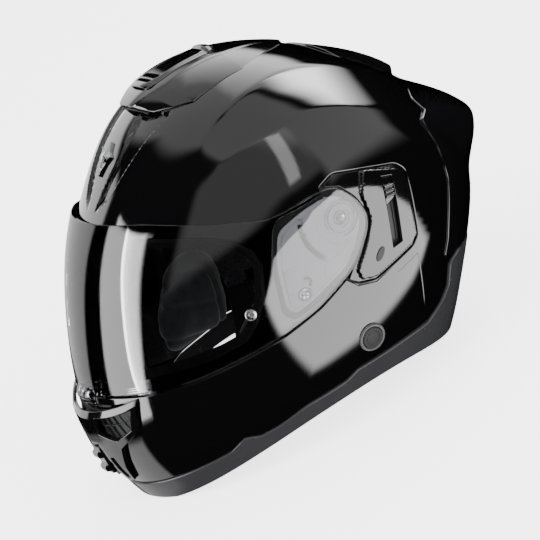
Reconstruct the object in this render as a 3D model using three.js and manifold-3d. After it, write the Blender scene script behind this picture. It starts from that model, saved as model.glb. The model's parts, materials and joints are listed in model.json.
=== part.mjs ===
// A full-face motorcycle helmet, in millimetres, +Z up, standing on its lower rim and facing -Y.
// Every piece is modelled in the wearer's frame: origin at the middle of the visor's pivot axis,
// X along that axis to the wearer's left, -Y straight ahead, +Z up. The last lines turn the whole
// helmet nose-up until its rim lies flat, and set the origin under the middle of its bounding box.
import * as THREE from "three";
import { mergeVertices } from "three/addons/utils/BufferGeometryUtils.js";
import Module from "manifold-3d";

const wasm = await Module();
wasm.setup();

// ---- Driving dimensions ------------------------------------------------------------------------

const HALF_WIDTH = 119; // pivot axis centre to the side of the shell
const STATION_STEP = 20; // degrees between two stations of the tables below

// Distance from the pivot axis to the shell along the centreline: 0 ahead, 90 up, 180 behind, 270 down.
const RADII = [134, 119, 115, 110, 106, 105, 107, 114, 128, 150, 146, 150, 174, 190, 209, 226, 197, 155];
// How full the shell is between the centreline and the pivots: 1 is an ellipse, more is boxier.
const FULLNESS = [
  0.92, 0.93, 0.96, 1.02, 1.1, 1.16, 1.18, 1.2, 1.2, 1.2, 1.2, 1.2, 1.2, 1.15, 1.05, 0.96, 0.92, 0.92,
];

const SHELL_WALL = 3.2;
const LINER_GAP = 1.5; // between the shell and the foam inside it
const FOAM_DEPTH = 30; // shell surface to the inside of the impact foam
const COMFORT_DEPTH = 38; // shell surface to the inside of the cloth liner
const POCKET_DEPTH = 4; // recess in the shell's side for the base plate and the side cover
const FIT_GAP = 0.35; // between pieces that touch

const VISOR_WALL = 2.2;
const VISOR_PROUD_SIDE = 2.8; // visor's outer face over the shell, at the pivots
const VISOR_PROUD_FRONT = 5; // and at the middle of the face

const REST_SLOPE = 12.5; // degrees between the wearer's horizontal and the plane of the rim
const CHIN_BOTTOM = { y: -140, z: -172 };
const RIM_ARCH = 22; // how far the rim lifts between chin and nape
const RIM_ARCH_MIDDLE = -14; // where along Y the lift is greatest
const RIM_ARCH_HALF = 112; // half the length of the lifted stretch

const WIDE = 200; // reach of the side-view cutters, past both sides
const FAR = 260; // reach of the outlines, past the front, back, top and bottom

const FINE = { around: 36, across: 18 }; // facets of the outer skins
const COARSE = { around: 24, across: 12 }; // and of what lies inside

const degrees = THREE.MathUtils.degToRad;

// ---- The shell's form --------------------------------------------------------------------------

// A periodic uniform cubic B-spline through a table of stations round the pivot axis.
function station(table, theta) {
  const place = (((theta / degrees(STATION_STEP)) % table.length) + table.length) % table.length;
  const first = Math.floor(place);
  const t = place - first;
  const value = (k) => table[(first + k + table.length) % table.length];
  return (
    ((1 - t) ** 3 * value(-1) +
      (3 * t ** 3 - 6 * t ** 2 + 4) * value(0) +
      (-3 * t ** 3 + 3 * t ** 2 + 3 * t + 1) * value(1) +
      t ** 3 * value(2)) /
    6
  );
}

// theta turns round the pivot axis, psi runs from the right pivot (-90) to the left one (+90).
function formPoint(theta, psi) {
  const s = Math.sin(psi);
  const full = station(FULLNESS, theta);
  const rho = station(RADII, theta) * Math.cos(psi);
  return new THREE.Vector3(
    HALF_WIDTH * s * (full - (full - 1) * s * s),
    -rho * Math.cos(theta),
    rho * Math.sin(theta),
  );
}

function formNormal(theta, psi) {
  const step = 1e-4;
  const across = formPoint(theta, psi + step).sub(formPoint(theta, psi - step));
  const along = formPoint(theta + step, psi).sub(formPoint(theta - step, psi));
  const normal = across.cross(along);
  if (normal.length() < 1e-9) return new THREE.Vector3(Math.sign(Math.sin(psi)), 0, 0);
  return normal.normalize();
}

function formOffset(theta, psi, offset) {
  return formPoint(theta, psi).addScaledVector(formNormal(theta, psi), offset);
}

// The place on the left (side = 1) or right (side = -1) of the shell seen at y, z from the side.
function sideAngles(y, z, side = 1) {
  const theta = Math.atan2(z, -y);
  const psi = side * Math.acos(Math.hypot(y, z) / station(RADII, theta));
  return { theta, psi };
}

// A frame on the shell with its Z axis along the surface normal and its X axis as level as can be.
function sideFrame(y, z, side, offset) {
  const { theta, psi } = sideAngles(y, z, side);
  const out = formNormal(theta, psi);
  const across = new THREE.Vector3(0, 0, 1).cross(out).normalize();
  const up = out.clone().cross(across);
  return new THREE.Matrix4().makeBasis(across, up, out).setPosition(formOffset(theta, psi, offset));
}

// ---- Solids ------------------------------------------------------------------------------------

function solidOf(geometry) {
  const plain = new THREE.BufferGeometry().setAttribute("position", geometry.getAttribute("position"));
  if (geometry.index) plain.setIndex(geometry.index);
  const merged = mergeVertices(plain, 1e-4);
  return new wasm.Manifold(
    new wasm.Mesh({
      numProp: 3,
      vertProperties: new Float32Array(merged.attributes.position.array),
      triVerts: new Uint32Array(merged.index.array),
    }),
  );
}

function geometryOf(solid) {
  const mesh = solid.getMesh();
  const indexed = new THREE.BufferGeometry()
    .setAttribute("position", new THREE.BufferAttribute(new Float32Array(mesh.vertProperties), 3))
    .setIndex(new THREE.BufferAttribute(new Uint32Array(mesh.triVerts), 1));
  const geometry = indexed.toNonIndexed();
  geometry.computeVertexNormals();
  return geometry;
}

function indexedSolid(points, triangles) {
  const positions = new Float32Array(points.flatMap((p) => [p.x, p.y, p.z]));
  return new wasm.Manifold(
    new wasm.Mesh({ numProp: 3, vertProperties: positions, triVerts: new Uint32Array(triangles) }),
  );
}

// The whole closed form, pushed out or in by an offset that may vary over it.
function skin(offset, { around, across } = FINE) {
  const at = typeof offset === "function" ? offset : () => offset;
  const points = [];
  const triangles = [];
  const rings = across - 1;
  for (let i = 0; i < around; i++) {
    const theta = (i / around) * 2 * Math.PI;
    for (let j = 1; j <= rings; j++) {
      const psi = (j / across - 0.5) * Math.PI;
      points.push(formOffset(theta, psi, at(theta, psi)));
    }
  }
  const rightPole = points.push(new THREE.Vector3(-HALF_WIDTH - at(0, -Math.PI / 2), 0, 0)) - 1;
  const leftPole = points.push(new THREE.Vector3(HALF_WIDTH + at(0, Math.PI / 2), 0, 0)) - 1;
  const index = (i, j) => (i % around) * rings + j;
  for (let i = 0; i < around; i++) {
    for (let j = 0; j < rings - 1; j++) {
      const [a, b] = [index(i, j), index(i, j + 1)];
      const [c, d] = [index(i + 1, j + 1), index(i + 1, j)];
      triangles.push(a, b, c, a, c, d);
    }
    triangles.push(rightPole, index(i, 0), index(i + 1, 0));
    triangles.push(leftPole, index(i + 1, rings - 1), index(i, rings - 1));
  }
  return indexedSolid(points, triangles);
}

// A curved plate on the form. at(s, v) gives theta, psi, and the offsets of its two faces, for
// s from 0 to 1 along it and v from -1 to 1 across it.
function plate(rows, columns, at) {
  const points = [];
  const triangles = [];
  const width = columns + 1;
  const bottomStart = (rows + 1) * width;
  const bottom = [];
  for (let i = 0; i <= rows; i++) {
    for (let j = 0; j <= columns; j++) {
      const [theta, psi, top, under] = at(i / rows, (2 * j) / columns - 1);
      points.push(formOffset(theta, psi, top));
      bottom.push(formOffset(theta, psi, under));
    }
  }
  points.push(...bottom);
  const index = (i, j) => i * width + j;
  for (let i = 0; i < rows; i++) {
    for (let j = 0; j < columns; j++) {
      const [a, b] = [index(i, j), index(i, j + 1)];
      const [c, d] = [index(i + 1, j + 1), index(i + 1, j)];
      triangles.push(a, b, c, a, c, d);
      triangles.push(bottomStart + a, bottomStart + c, bottomStart + b);
      triangles.push(bottomStart + a, bottomStart + d, bottomStart + c);
    }
  }
  const wall = (a, b) => {
    triangles.push(b, a, bottomStart + a);
    triangles.push(b, bottomStart + a, bottomStart + b);
  };
  for (let j = 0; j < columns; j++) {
    wall(index(0, j), index(0, j + 1));
    wall(index(rows, j + 1), index(rows, j));
  }
  for (let i = 0; i < rows; i++) {
    wall(index(i, columns), index(i + 1, columns));
    wall(index(i + 1, 0), index(i, 0));
  }
  return indexedSolid(points, triangles);
}

// A prism along X whose outline is drawn as the helmet is seen from its side, in [y, z] points.
function sidePrism(outline, from = -WIDE, to = WIDE) {
  const shape = new THREE.Shape(outline.map(([y, z]) => new THREE.Vector2(y, z)));
  const geometry = new THREE.ExtrudeGeometry(shape, { depth: to - from, bevelEnabled: false });
  const basis = new THREE.Matrix4().makeBasis(
    new THREE.Vector3(0, 1, 0),
    new THREE.Vector3(0, 0, 1),
    new THREE.Vector3(1, 0, 0),
  );
  return solidOf(geometry.applyMatrix4(basis.setPosition(from, 0, 0)));
}

function cylinder(radius, from, to, frame, segments = 10) {
  const geometry = new THREE.CylinderGeometry(radius, radius, to - from, segments);
  geometry.rotateX(Math.PI / 2).translate(0, 0, (from + to) / 2);
  return solidOf(geometry.applyMatrix4(frame));
}

function tube(outer, inner, from, to, frame) {
  return cylinder(outer, from, to, frame, 18).subtract(cylinder(inner, from - 1, to + 1, frame, 18));
}

function box(width, depth, height, frame = new THREE.Matrix4()) {
  return solidOf(new THREE.BoxGeometry(width, depth, height).applyMatrix4(frame));
}

function ellipsoid(rx, ry, rz, x, y, z) {
  const geometry = new THREE.SphereGeometry(1, 24, 16).scale(rx, ry, rz).translate(x, y, z);
  return solidOf(geometry);
}

function smoothLine(points, count) {
  const curve = new THREE.SplineCurve(points.map(([y, z]) => new THREE.Vector2(y, z)));
  return curve.getPoints(count).map((p) => [p.x, p.y]);
}

function blend(from, to, value) {
  return THREE.MathUtils.smoothstep(value, from, to);
}

// ---- Outlines in the side view, as [y, z] -------------------------------------------------------

function restPlane(y) {
  return CHIN_BOTTOM.z + Math.tan(degrees(REST_SLOPE)) * (y - CHIN_BOTTOM.y);
}

// The lower edge of the whole helmet: flat on the rest plane at chin and nape, arched between.
function rimHeight(y) {
  const t = Math.min(1, Math.abs((y - RIM_ARCH_MIDDLE) / RIM_ARCH_HALF));
  return restPlane(y) + RIM_ARCH * (1 - t * t);
}

const rimLine = [];
for (let y = -FAR; y <= FAR; y += 12) rimLine.push([y, rimHeight(y)]);

// Seam between the gloss shell and the satin trim below it, from chin to nape.
const trimSeam = [
  [-FAR, -166],
  [-150, -160],
  [-132, -151.5],
  [-114, -143.5],
  [-95, -135],
  [-87, -127],
  [-77, -128.5],
  [-65, -125],
  [-46, -116.5],
  [-16, -109],
  [-7, -104],
  [20, -100],
  [54, -94.5],
  [71, -85],
  [80, -77],
  [84, -62],
  [96, -58],
  [FAR, -56],
];

const visorTop = [
  [-FAR, 24],
  [-107, 23],
  [-76, 17],
  [-47, 13.3],
  [-37, 14.8],
];

const podArc = smoothLine(
  [
    [-26, 17.6],
    [-8, 21.2],
    [4, 18.2],
    [14, 7],
    [17.8, -7],
    [11, -21.5],
    [0, -34.5],
    [-26.4, -51.2],
    [-52.8, -62.6],
  ],
  26,
);

const visorBottom = [
  [-78, -70.4],
  [-110, -79.6],
  [-135, -85],
  [-151, -86.8],
  [-FAR, -89],
];

const visorOutline = [...visorTop, ...podArc, ...visorBottom];

const eyeportOutline = [
  [-FAR, 15],
  [-128, 15],
  [-107, 14],
  [-80, 9],
  [-68, 4],
  [-60, -4],
  [-57, -15],
  [-60, -34],
  [-67, -50],
  [-76, -61],
  [-90, -66],
  [-110, -71],
  [-135, -76],
  [-FAR, -79],
];

const GASKET_WIDTH = 6;

function insetEyeport(by) {
  const middle = { y: -130, z: -32 };
  return eyeportOutline.map(([y, z]) => {
    const side = Math.sign(middle.z - z);
    if (y < -85) return [y, z + side * by];
    return [y - by * 0.85, z + (side * by * Math.abs(z - middle.z)) / 45];
  });
}

// The upper edge of the lower shell panel: it follows the visor's lower edge and the side cover's.
const lowerPanel = [
  [-FAR, -90.5],
  [-151, -88.2],
  [-135, -86.4],
  [-110, -81],
  [-78, -71.8],
  [-52.8, -64],
  [-27, -53],
  [-6, -40.5],
  [2, -47],
  [16, -49.4],
  [34, -43.5],
  [34, -FAR],
  [-FAR, -FAR],
];

const coverRim = [
  [-7, 22.9],
  [2.5, 28.6],
  [50, 19.5],
  [56.5, 14],
  [55.5, -30.5],
  [50, -36.3],
  [16.4, -47.9],
  [3.5, -46],
  [-3, -42],
];

const coverInner = [
  [1.2, -36],
  [12.2, -21.5],
  [19.2, -7],
  [15.2, 8],
  [5, 19.6],
];

const coverOutline = [...coverRim, ...coverInner];

// The part of the side cover that the open visor never passes over, so it can stand proud.
const coverRaised = [
  [17.8, 9.4],
  [24, 25],
  [49, 18],
  [55, 13],
  [54, -29.8],
  [49.4, -35],
  [16.6, -46.4],
  [4, -44.6],
  [2.4, -36.6],
  [13, -21.5],
  [19.9, -7],
];

const pocketOutline = [
  [-45, 5],
  [-40, 11],
  [-25, 14],
  [-9, 18],
  [-9, 23.2],
  [2.2, 29.2],
  [50.3, 20.1],
  [57.1, 14.2],
  [56.1, -30.9],
  [50.4, -36.9],
  [16.5, -48.5],
  [2.8, -46.6],
  [-4, -42.2],
  [-27, -49],
  [-45, -56],
  [-52, -50],
  [-52, -20],
];

const basePlateOutline = [
  [-43, 3],
  [-25, 11.5],
  [-8, 16],
  [3, 14],
  [11, 5],
  [14.4, -6.5],
  [7.5, -20.5],
  [-2.5, -33],
  [-27, -46.5],
  [-43, -53],
  [-49, -47],
  [-49, -20],
];

function grown(outline, by) {
  const middle = outline.reduce((sum, [y, z]) => [sum[0] + y, sum[1] + z], [0, 0]);
  const [my, mz] = middle.map((v) => v / outline.length);
  return outline.map(([y, z]) => {
    const length = Math.hypot(y - my, z - mz);
    return [y + (by * (y - my)) / length, z + (by * (z - mz)) / length];
  });
}

// ---- Offsets of the larger skins ----------------------------------------------------------------

function visorProud(theta, psi) {
  return VISOR_PROUD_SIDE + (VISOR_PROUD_FRONT - VISOR_PROUD_SIDE) * Math.cos(psi) ** 2;
}

// The lower panel stands nearly as proud as the visor's edge, and sinks away towards the back.
function panelProud(theta, psi) {
  const y = formPoint(theta, psi).y;
  return (visorProud(theta, psi) - 0.8) * (1 - blend(-30, 45, y));
}

const skins = {
  outside: skin(0),
  wallInside: skin(-SHELL_WALL, COARSE),
  wallMiddle: skin(-SHELL_WALL / 2),
  pocketFloor: skin(-POCKET_DEPTH, COARSE),
  pocketInside: skin(-POCKET_DEPTH - SHELL_WALL, COARSE),
  foamOutside: skin(-SHELL_WALL - LINER_GAP, COARSE),
  foamInside: skin(-FOAM_DEPTH, COARSE),
  clothOutside: skin(-FOAM_DEPTH - 0.8, COARSE),
  clothInside: skin(-COMFORT_DEPTH, COARSE),
};

const belowTrimSeam = sidePrism([...trimSeam, [FAR, -FAR], [-FAR, -FAR]]);
const belowRim = sidePrism([...rimLine, [FAR, -FAR], [-FAR, -FAR]]);
const eyeport = sidePrism(eyeportOutline);

function shifted(outline, dz) {
  return outline.map(([y, z]) => [y, z + dz]);
}

// ---- Screws, ports and vents that several pieces share ------------------------------------------

const SCREW_HEAD = 4;
const SCREW_SHANK = 2.2;
const LOWER_SCREW = { y: -35, z: -42 };
const PIVOT_RING = { outer: 9.3, inner: 6.2 };
const VISOR_RING = { outer: 11.8, inner: 9.8 };
const PORT = { y: 6, z: -86, ring: 10, cap: 7.6 };
const pivotFrame = (side) =>
  new THREE.Matrix4()
    .makeBasis(
      new THREE.Vector3(0, side, 0),
      new THREE.Vector3(0, 0, 1),
      new THREE.Vector3(side, 0, 0),
    )
    .setPosition(side * HALF_WIDTH, 0, 0);

function portFrame() {
  const { theta, psi } = sideAngles(PORT.y, PORT.z);
  return sideFrame(PORT.y, PORT.z, 1, panelProud(theta, psi));
}

function lensPinFrame(side) {
  const { theta, psi } = sideAngles(-71, -43.5, side);
  return sideFrame(-71, -43.5, side, visorProud(theta, psi));
}

const TOP_VENT = { front: 49, back: 112, slider: { front: 56, back: 84, half: 7.2 } };

// The top vent's half width in degrees, and its height over the shell, along theta in degrees.
function topVentHalf(theta) {
  const widening = 11 + 12.5 * blend(49, 62, theta);
  return widening - 19.5 * blend(78, 112, theta);
}

function topVentHeight(theta, v) {
  const crest = 6.6 - 5.4 * blend(52, 112, theta);
  return 0.7 + (crest - 0.7) * (1 - Math.abs(v) ** 3);
}

// ---- Fixed pieces -------------------------------------------------------------------------------

function outerShell() {
  const lower = skin(panelProud).intersect(sidePrism(lowerPanel));
  const pocket = sidePrism(pocketOutline);
  const pocketWall = skins.wallMiddle
    .subtract(skins.pocketInside)
    .intersect(sidePrism(grown(pocketOutline, 3)));
  let shell = skins.outside.add(lower).subtract(skins.wallInside).add(pocketWall);
  shell = shell.subtract(pocket.subtract(skins.pocketFloor));
  shell = shell.subtract(eyeport).subtract(belowTrimSeam);
  for (const side of [-1, 1]) {
    shell = shell.subtract(cylinder(SCREW_SHANK + 0.3, -20, 5, pivotFrame(side)));
    const lowerScrew = sideFrame(LOWER_SCREW.y, LOWER_SCREW.z, side, 0);
    shell = shell.subtract(cylinder(SCREW_SHANK + 0.3, -20, 5, lowerScrew));
  }
  shell = shell.subtract(cylinder(PORT.ring + FIT_GAP, -12, 8, portFrame(), 18));
  const intake = plate(1, 2, (s, v) => [degrees(56 + 5 * s), degrees(8 * v), 2, -8]);
  const exhaust = plate(1, 2, (s, v) => [degrees(138 + 5 * s), degrees(8 * v), 2, -8]);
  const chinIntake = plate(1, 2, (s, v) => [degrees(321 + 4 * s), degrees(9 * v), 8, -9]);
  return shell.subtract(intake).subtract(exhaust).subtract(chinIntake);
}

const SUN = { y: -20, z: 10, radius: 84, half: 96, wall: 2, low: 5, high: 60, travel: 35 };
const SUN_BARREL_POWER = 2.4; // 2 would be an ellipse, more is boxier

// A barrel round the sun visor's own axis, so that the lens slides along itself as it turns.
function sunBarrel(inset) {
  const profile = [];
  const steps = 14;
  const power = SUN_BARREL_POWER;
  for (let i = 0; i <= steps; i++) {
    const x = -(SUN.half - inset) * Math.cos((i / steps) * Math.PI);
    const share = Math.min(1, Math.abs(x) / (SUN.half - inset));
    const radius = i % steps === 0 ? 0 : (SUN.radius - inset) * (1 - share ** power) ** (1 / power);
    profile.push(new THREE.Vector2(radius, x));
  }
  const geometry = new THREE.LatheGeometry(profile, 36).rotateZ(-Math.PI / 2);
  return solidOf(geometry.translate(0, SUN.y, SUN.z));
}

function sector(fromDegrees, toDegrees, reach) {
  const outline = [[SUN.y, SUN.z]];
  const steps = 8;
  for (let i = 0; i <= steps; i++) {
    const angle = degrees(fromDegrees + ((toDegrees - fromDegrees) * i) / steps);
    outline.push([SUN.y - reach * Math.cos(angle), SUN.z + reach * Math.sin(angle)]);
  }
  return outline;
}

function sunFrame(side) {
  return new THREE.Matrix4()
    .makeBasis(
      new THREE.Vector3(0, side, 0),
      new THREE.Vector3(0, 0, 1),
      new THREE.Vector3(side, 0, 0),
    )
    .setPosition(0, SUN.y, SUN.z);
}

function sunRoom() {
  const swept = sidePrism(sector(SUN.low - SUN.travel - 5, SUN.high + 5, FAR));
  return swept.subtract(sunBarrel(SUN.wall + 2));
}

function impactLiner() {
  const lowerEdge = [
    [-FAR, 26],
    [-100, 26],
    [-52, 20],
    [-46, -10],
    [-48, -70],
    [40, -70],
    [64, -76],
    [FAR, -76],
    [FAR, FAR],
    [-FAR, FAR],
  ];
  const pocketRoom = sidePrism(grown(pocketOutline, 5)).subtract(
    skin(-POCKET_DEPTH - SHELL_WALL - LINER_GAP, COARSE),
  );
  return skins.foamOutside
    .subtract(skins.foamInside)
    .intersect(sidePrism(lowerEdge))
    .subtract(pocketRoom)
    .subtract(sunRoom())
    .subtract(cylinder(9, 86, 112, sunFrame(1)))
    .subtract(cylinder(9, 86, 112, sunFrame(-1)));
}

function chinLiner() {
  const region = [
    [-FAR, -81],
    [-110, -75],
    [-94, -73],
    [-94, -130],
    [-112, -138],
    [-FAR, -152],
  ];
  return skin(-6.5, COARSE).subtract(skin(-22, COARSE)).intersect(sidePrism(region));
}

function comfortLiner() {
  const region = [
    [-FAR, 32],
    [-60, 28],
    [-40, -16],
    [0, -36],
    [60, -50],
    [FAR, -56],
    [FAR, FAR],
    [-FAR, FAR],
  ];
  return skins.clothOutside.subtract(skins.clothInside).intersect(sidePrism(region));
}

const cheekOutline = smoothLine(
  [
    [-88, -78],
    [-70, -50],
    [-48, -38],
    [-22, -40],
    [-9, -54],
    [-6, -84],
    [-14, -110],
    [-44, -116],
    [-80, -116],
    [-90, -98],
    [-88, -79],
  ],
  20,
).slice(0, -1);

function cheekPad() {
  const headSide = ellipsoid(66, 118, 150, 0, 12, -52);
  const room = skins.clothOutside.subtract(headSide);
  return room.intersect(sidePrism(cheekOutline, 20, WIDE));
}

function cheekBlock() {
  const region = [
    [-86, -76],
    [-50, -71],
    [-10, -71],
    [-8, -84],
    [-15, -106],
    [-44, -112],
    [-80, -118],
  ];
  return skins.foamOutside.subtract(skins.foamInside).intersect(sidePrism(region, 20, WIDE));
}

function neckRoll() {
  const region = [
    [34, -79],
    [64, -80],
    [FAR, -80],
    [FAR, -105],
    [100, -111],
    [62, -106],
    [36, -106],
  ];
  return skin(-7, COARSE).subtract(skin(-34, COARSE)).intersect(sidePrism(region));
}

function lowerTrim() {
  const outside = skin((theta, psi) => panelProud(theta, psi) + 0.9);
  return outside
    .subtract(skins.wallInside)
    .intersect(sidePrism([...shifted(trimSeam, -FIT_GAP), [FAR, -FAR], [-FAR, -FAR]]))
    .subtract(belowRim);
}

function eyeportGasket() {
  const band = sidePrism(insetEyeport(FIT_GAP + 0.1)).subtract(
    sidePrism(insetEyeport(GASKET_WIDTH)),
  );
  return skin(-0.1).subtract(skin(-6)).intersect(band);
}

function basePlate() {
  const frame = pivotFrame(1);
  const lowerScrew = sideFrame(LOWER_SCREW.y, LOWER_SCREW.z, 1, 0);
  const sheet = skin(-1.3, COARSE).subtract(skin(-3.3, COARSE));
  return sheet
    .intersect(sidePrism(basePlateOutline, 60, WIDE))
    .add(tube(PIVOT_RING.outer, PIVOT_RING.inner, -2.8, -0.5, frame))
    .subtract(cylinder(SCREW_SHANK + 0.3, -8, 4, frame))
    .subtract(cylinder(SCREW_SHANK + 0.3, -8, 4, lowerScrew));
}

function screw(frame) {
  const [seat, top, tip] = [-1, -0.1, -7.4];
  const driverSlot = frame.clone().multiply(new THREE.Matrix4().setPosition(0, 0, top));
  return cylinder(SCREW_HEAD, seat, top, frame, 14)
    .add(cylinder(SCREW_SHANK, tip, seat + 0.5, frame))
    .subtract(box(5, 1, 1.2, driverSlot));
}

function sideCover() {
  const floor = skin(-2.9, COARSE);
  const low = skin(-0.5, COARSE).subtract(floor).intersect(sidePrism(coverOutline, 60, WIDE));
  const high = skin(2.3, COARSE).subtract(floor).intersect(sidePrism(coverRaised, 60, WIDE));
  return low.add(high);
}

// The slot leans a little: its upper end lies further back.
const LEVER = { y: 38, top: 16, bottom: -30 };

function leverSlot() {
  const outline = [
    [LEVER.y - 3, LEVER.top],
    [LEVER.y + 5.4, LEVER.top - 1.6],
    [LEVER.y + 2.6, LEVER.bottom + 0.2],
    [LEVER.y - 5.6, LEVER.bottom - 1.6],
  ];
  return sidePrism(outline, 60, WIDE).subtract(skin(-2, COARSE));
}

function leverKnob() {
  const knob = [
    [LEVER.y - 2.2, LEVER.top - 0.8],
    [LEVER.y + 4.7, LEVER.top - 2.2],
    [LEVER.y + 3.4, LEVER.top - 20],
    [LEVER.y - 3.7, LEVER.top - 18.8],
  ];
  const ridge = [
    [LEVER.y - 2.4, LEVER.top - 7],
    [LEVER.y + 4.1, LEVER.top - 8.4],
    [LEVER.y + 3.7, LEVER.top - 14],
    [LEVER.y - 3, LEVER.top - 12.6],
  ];
  const body = skin(1.7).subtract(skin(0.2)).intersect(sidePrism(knob, 60, WIDE));
  const grip = skin(3.6).subtract(skin(1)).intersect(sidePrism(ridge, 60, WIDE));
  return body.add(grip);
}

function sideBadge() {
  const frame = sideFrame(21.5, -32, 1, 2.6);
  const geometry = new THREE.CylinderGeometry(4.6, 4.6, 0.8, 16);
  geometry.rotateX(Math.PI / 2).scale(0.85, 1.05, 1).translate(0, 0, 0.7);
  return solidOf(geometry.applyMatrix4(frame));
}

function lowerPortRing() {
  return tube(PORT.ring, PORT.cap + FIT_GAP, -3.4, 1.6, portFrame());
}

function lowerPortCap() {
  return cylinder(PORT.cap, -3, 2, portFrame(), 18);
}

function topVentHousing() {
  const span = TOP_VENT.back - TOP_VENT.front;
  const body = plate(10, 6, (s, v) => {
    const theta = TOP_VENT.front + span * s;
    return [degrees(theta), degrees(topVentHalf(theta) * v), topVentHeight(theta, v) + 0.2, 0.7];
  });
  const mouth = plate(3, 4, (s, v) => [
    degrees(TOP_VENT.front - 3 + 12 * s),
    degrees(8.5 * v),
    4.6,
    1.6,
  ]);
  const shaft = plate(1, 2, (s, v) => [degrees(56 + 4.5 * s), degrees(7.5 * v), 3, -2]);
  return body.subtract(mouth).subtract(shaft);
}

function topVentSlider() {
  const { front, back, half } = TOP_VENT.slider;
  return plate(8, 4, (s, v) => {
    const theta = front + (back - front) * s;
    const crest = topVentHeight(theta, 0) + 0.3 + FIT_GAP;
    const grip = 1.4 - 0.8 * s;
    return [degrees(theta), degrees(half * v), crest + grip, crest];
  });
}

function crownExhaust() {
  const body = plate(6, 6, (s, v) => {
    const theta = 122 + 29 * s;
    const crest = 1 + 5 * s;
    return [degrees(theta), degrees((17 - 3 * s) * v), 0.6 + (crest - 0.6) * (1 - v ** 4), 0.35];
  });
  const duct = plate(2, 4, (s, v) => [degrees(137 + 16 * s), degrees(9.5 * v), 3.9, 1.5]);
  const throat = plate(1, 2, (s, v) => [degrees(138 + 4.5 * s), degrees(7.5 * v), 3, -2]);
  return body.subtract(duct).subtract(throat);
}

// The spoiler rises out of the shell behind the crown, ends in a sharp tail and tucks in under it.
const SPOILER = { front: 153, tail: 173, under: 187, proud: 22 };

function spoilerHeight(theta) {
  const rise = blend(SPOILER.front - 6, SPOILER.tail + 2, theta);
  const fall = 1 - blend(SPOILER.tail - 0.5, SPOILER.under, theta);
  return 0.9 + (SPOILER.proud - 0.9) * rise * fall;
}

function rearSpoiler() {
  const stations = [0, 0.16, 0.32, 0.46, 0.56, 0.62, 0.72, 0.85, 1];
  const last = stations.length - 1;
  return plate(last, 12, (s, v) => {
    const theta = SPOILER.front + (SPOILER.under - SPOILER.front) * stations[Math.round(s * last)];
    const half = 44 - 8 * blend(SPOILER.tail, SPOILER.under, theta);
    const across = 1 - blend(0.45, 1, Math.abs(v));
    const height = 0.9 + (spoilerHeight(theta) - 0.9) * across;
    return [degrees(theta), degrees(half * v), height + 0.6, 0.9];
  });
}

function rearGrille(side) {
  return plate(3, 4, (s, v) => [
    degrees(190 + 9 * s),
    side * degrees(13 + 6 * v * side),
    1.6,
    0.35,
  ]);
}

const CHIN_VENT = { top: 327.7, bottom: 312.8 };

function chinVentHalf(theta) {
  const lower = 6 + 9 * blend(316, 320.5, theta);
  return lower + 8 * blend(319, 324, theta);
}

function chinBase(theta, psi) {
  return panelProud(theta, psi) + FIT_GAP;
}

function chinVentHousing() {
  const span = CHIN_VENT.top - CHIN_VENT.bottom;
  const body = plate(8, 8, (s, v) => {
    const theta = CHIN_VENT.bottom + span * s;
    const psi = degrees(chinVentHalf(theta) * v);
    const angle = degrees(theta);
    const nose = 5.2 * (1 - Math.abs(v) ** 2.5) * blend(309, 317, theta);
    return [angle, psi, panelProud(angle, psi) + 1.4 + nose, chinBase(angle, psi)];
  });
  let housing = body;
  for (const side of [-1, 1]) {
    housing = housing.subtract(
      plate(2, 3, (s, v) => {
        const theta = degrees(322 + 5.2 * s);
        const psi = side * degrees(12.4 + 6.6 * v * side);
        return [theta, psi, panelProud(theta, psi) + 12, panelProud(theta, psi) - 3];
      }),
    );
  }
  const slot = plate(2, 2, (s, v) => {
    const theta = degrees(312.6 + 8.4 * s);
    const psi = degrees(2.9 * v);
    return [theta, psi, panelProud(theta, psi) + 14, panelProud(theta, psi) + 3.6];
  });
  return housing.subtract(slot);
}

function chinGrille(side) {
  return plate(2, 3, (s, v) => {
    const theta = degrees(322.25 + 4.7 * s);
    const psi = side * degrees(12.4 + 6.3 * v * side);
    return [theta, psi, panelProud(theta, psi) + 2.6, panelProud(theta, psi) + 0.5];
  });
}

function chinVentSlider() {
  return plate(4, 2, (s, v) => {
    const theta = degrees(315.4 + 5.2 * s);
    const psi = degrees(2.5 * v);
    const top = panelProud(theta, psi) + 7.4 + 1.6 * Math.sin(Math.PI * s);
    return [theta, psi, top, panelProud(theta, psi) + 4.1];
  });
}

function foreheadBadge() {
  const outline = new THREE.Shape();
  const [halfWidth, halfHeight] = [8, 12];
  outline.moveTo(0, halfHeight);
  outline.quadraticCurveTo(-halfWidth * 0.9, halfHeight * 0.5, -halfWidth, 0);
  outline.quadraticCurveTo(-halfWidth * 0.5, -halfHeight * 0.7, 0, -halfHeight);
  outline.quadraticCurveTo(halfWidth * 0.5, -halfHeight * 0.7, halfWidth, 0);
  outline.quadraticCurveTo(halfWidth * 0.9, halfHeight * 0.5, 0, halfHeight);
  const theta = degrees(31);
  const geometry = new THREE.ExtrudeGeometry(outline, {
    depth: 1.6,
    bevelEnabled: false,
    curveSegments: 5,
  });
  const out = formNormal(theta, 0);
  const across = new THREE.Vector3(1, 0, 0);
  const frame = new THREE.Matrix4()
    .makeBasis(across, out.clone().cross(across), out)
    .setPosition(formOffset(theta, 0, 0.4));
  return solidOf(geometry.applyMatrix4(frame));
}

function breathDeflector() {
  return plate(4, 8, (s, v) => {
    const theta = degrees(322 + 16 * s);
    return [theta, degrees((22 - 5 * s) * v), -25.5 - 2 * s, -27.3 - 2 * s];
  });
}

function chinCurtain() {
  const region = [
    [-FAR, restPlane(-FAR) + 7],
    [-92, restPlane(-92) + 10],
    [-92, restPlane(-92) + 12],
    [-FAR, restPlane(-FAR) + 9],
  ];
  return skin(-9, COARSE).intersect(sidePrism(region));
}

// ---- Pieces that move ---------------------------------------------------------------------------

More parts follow.
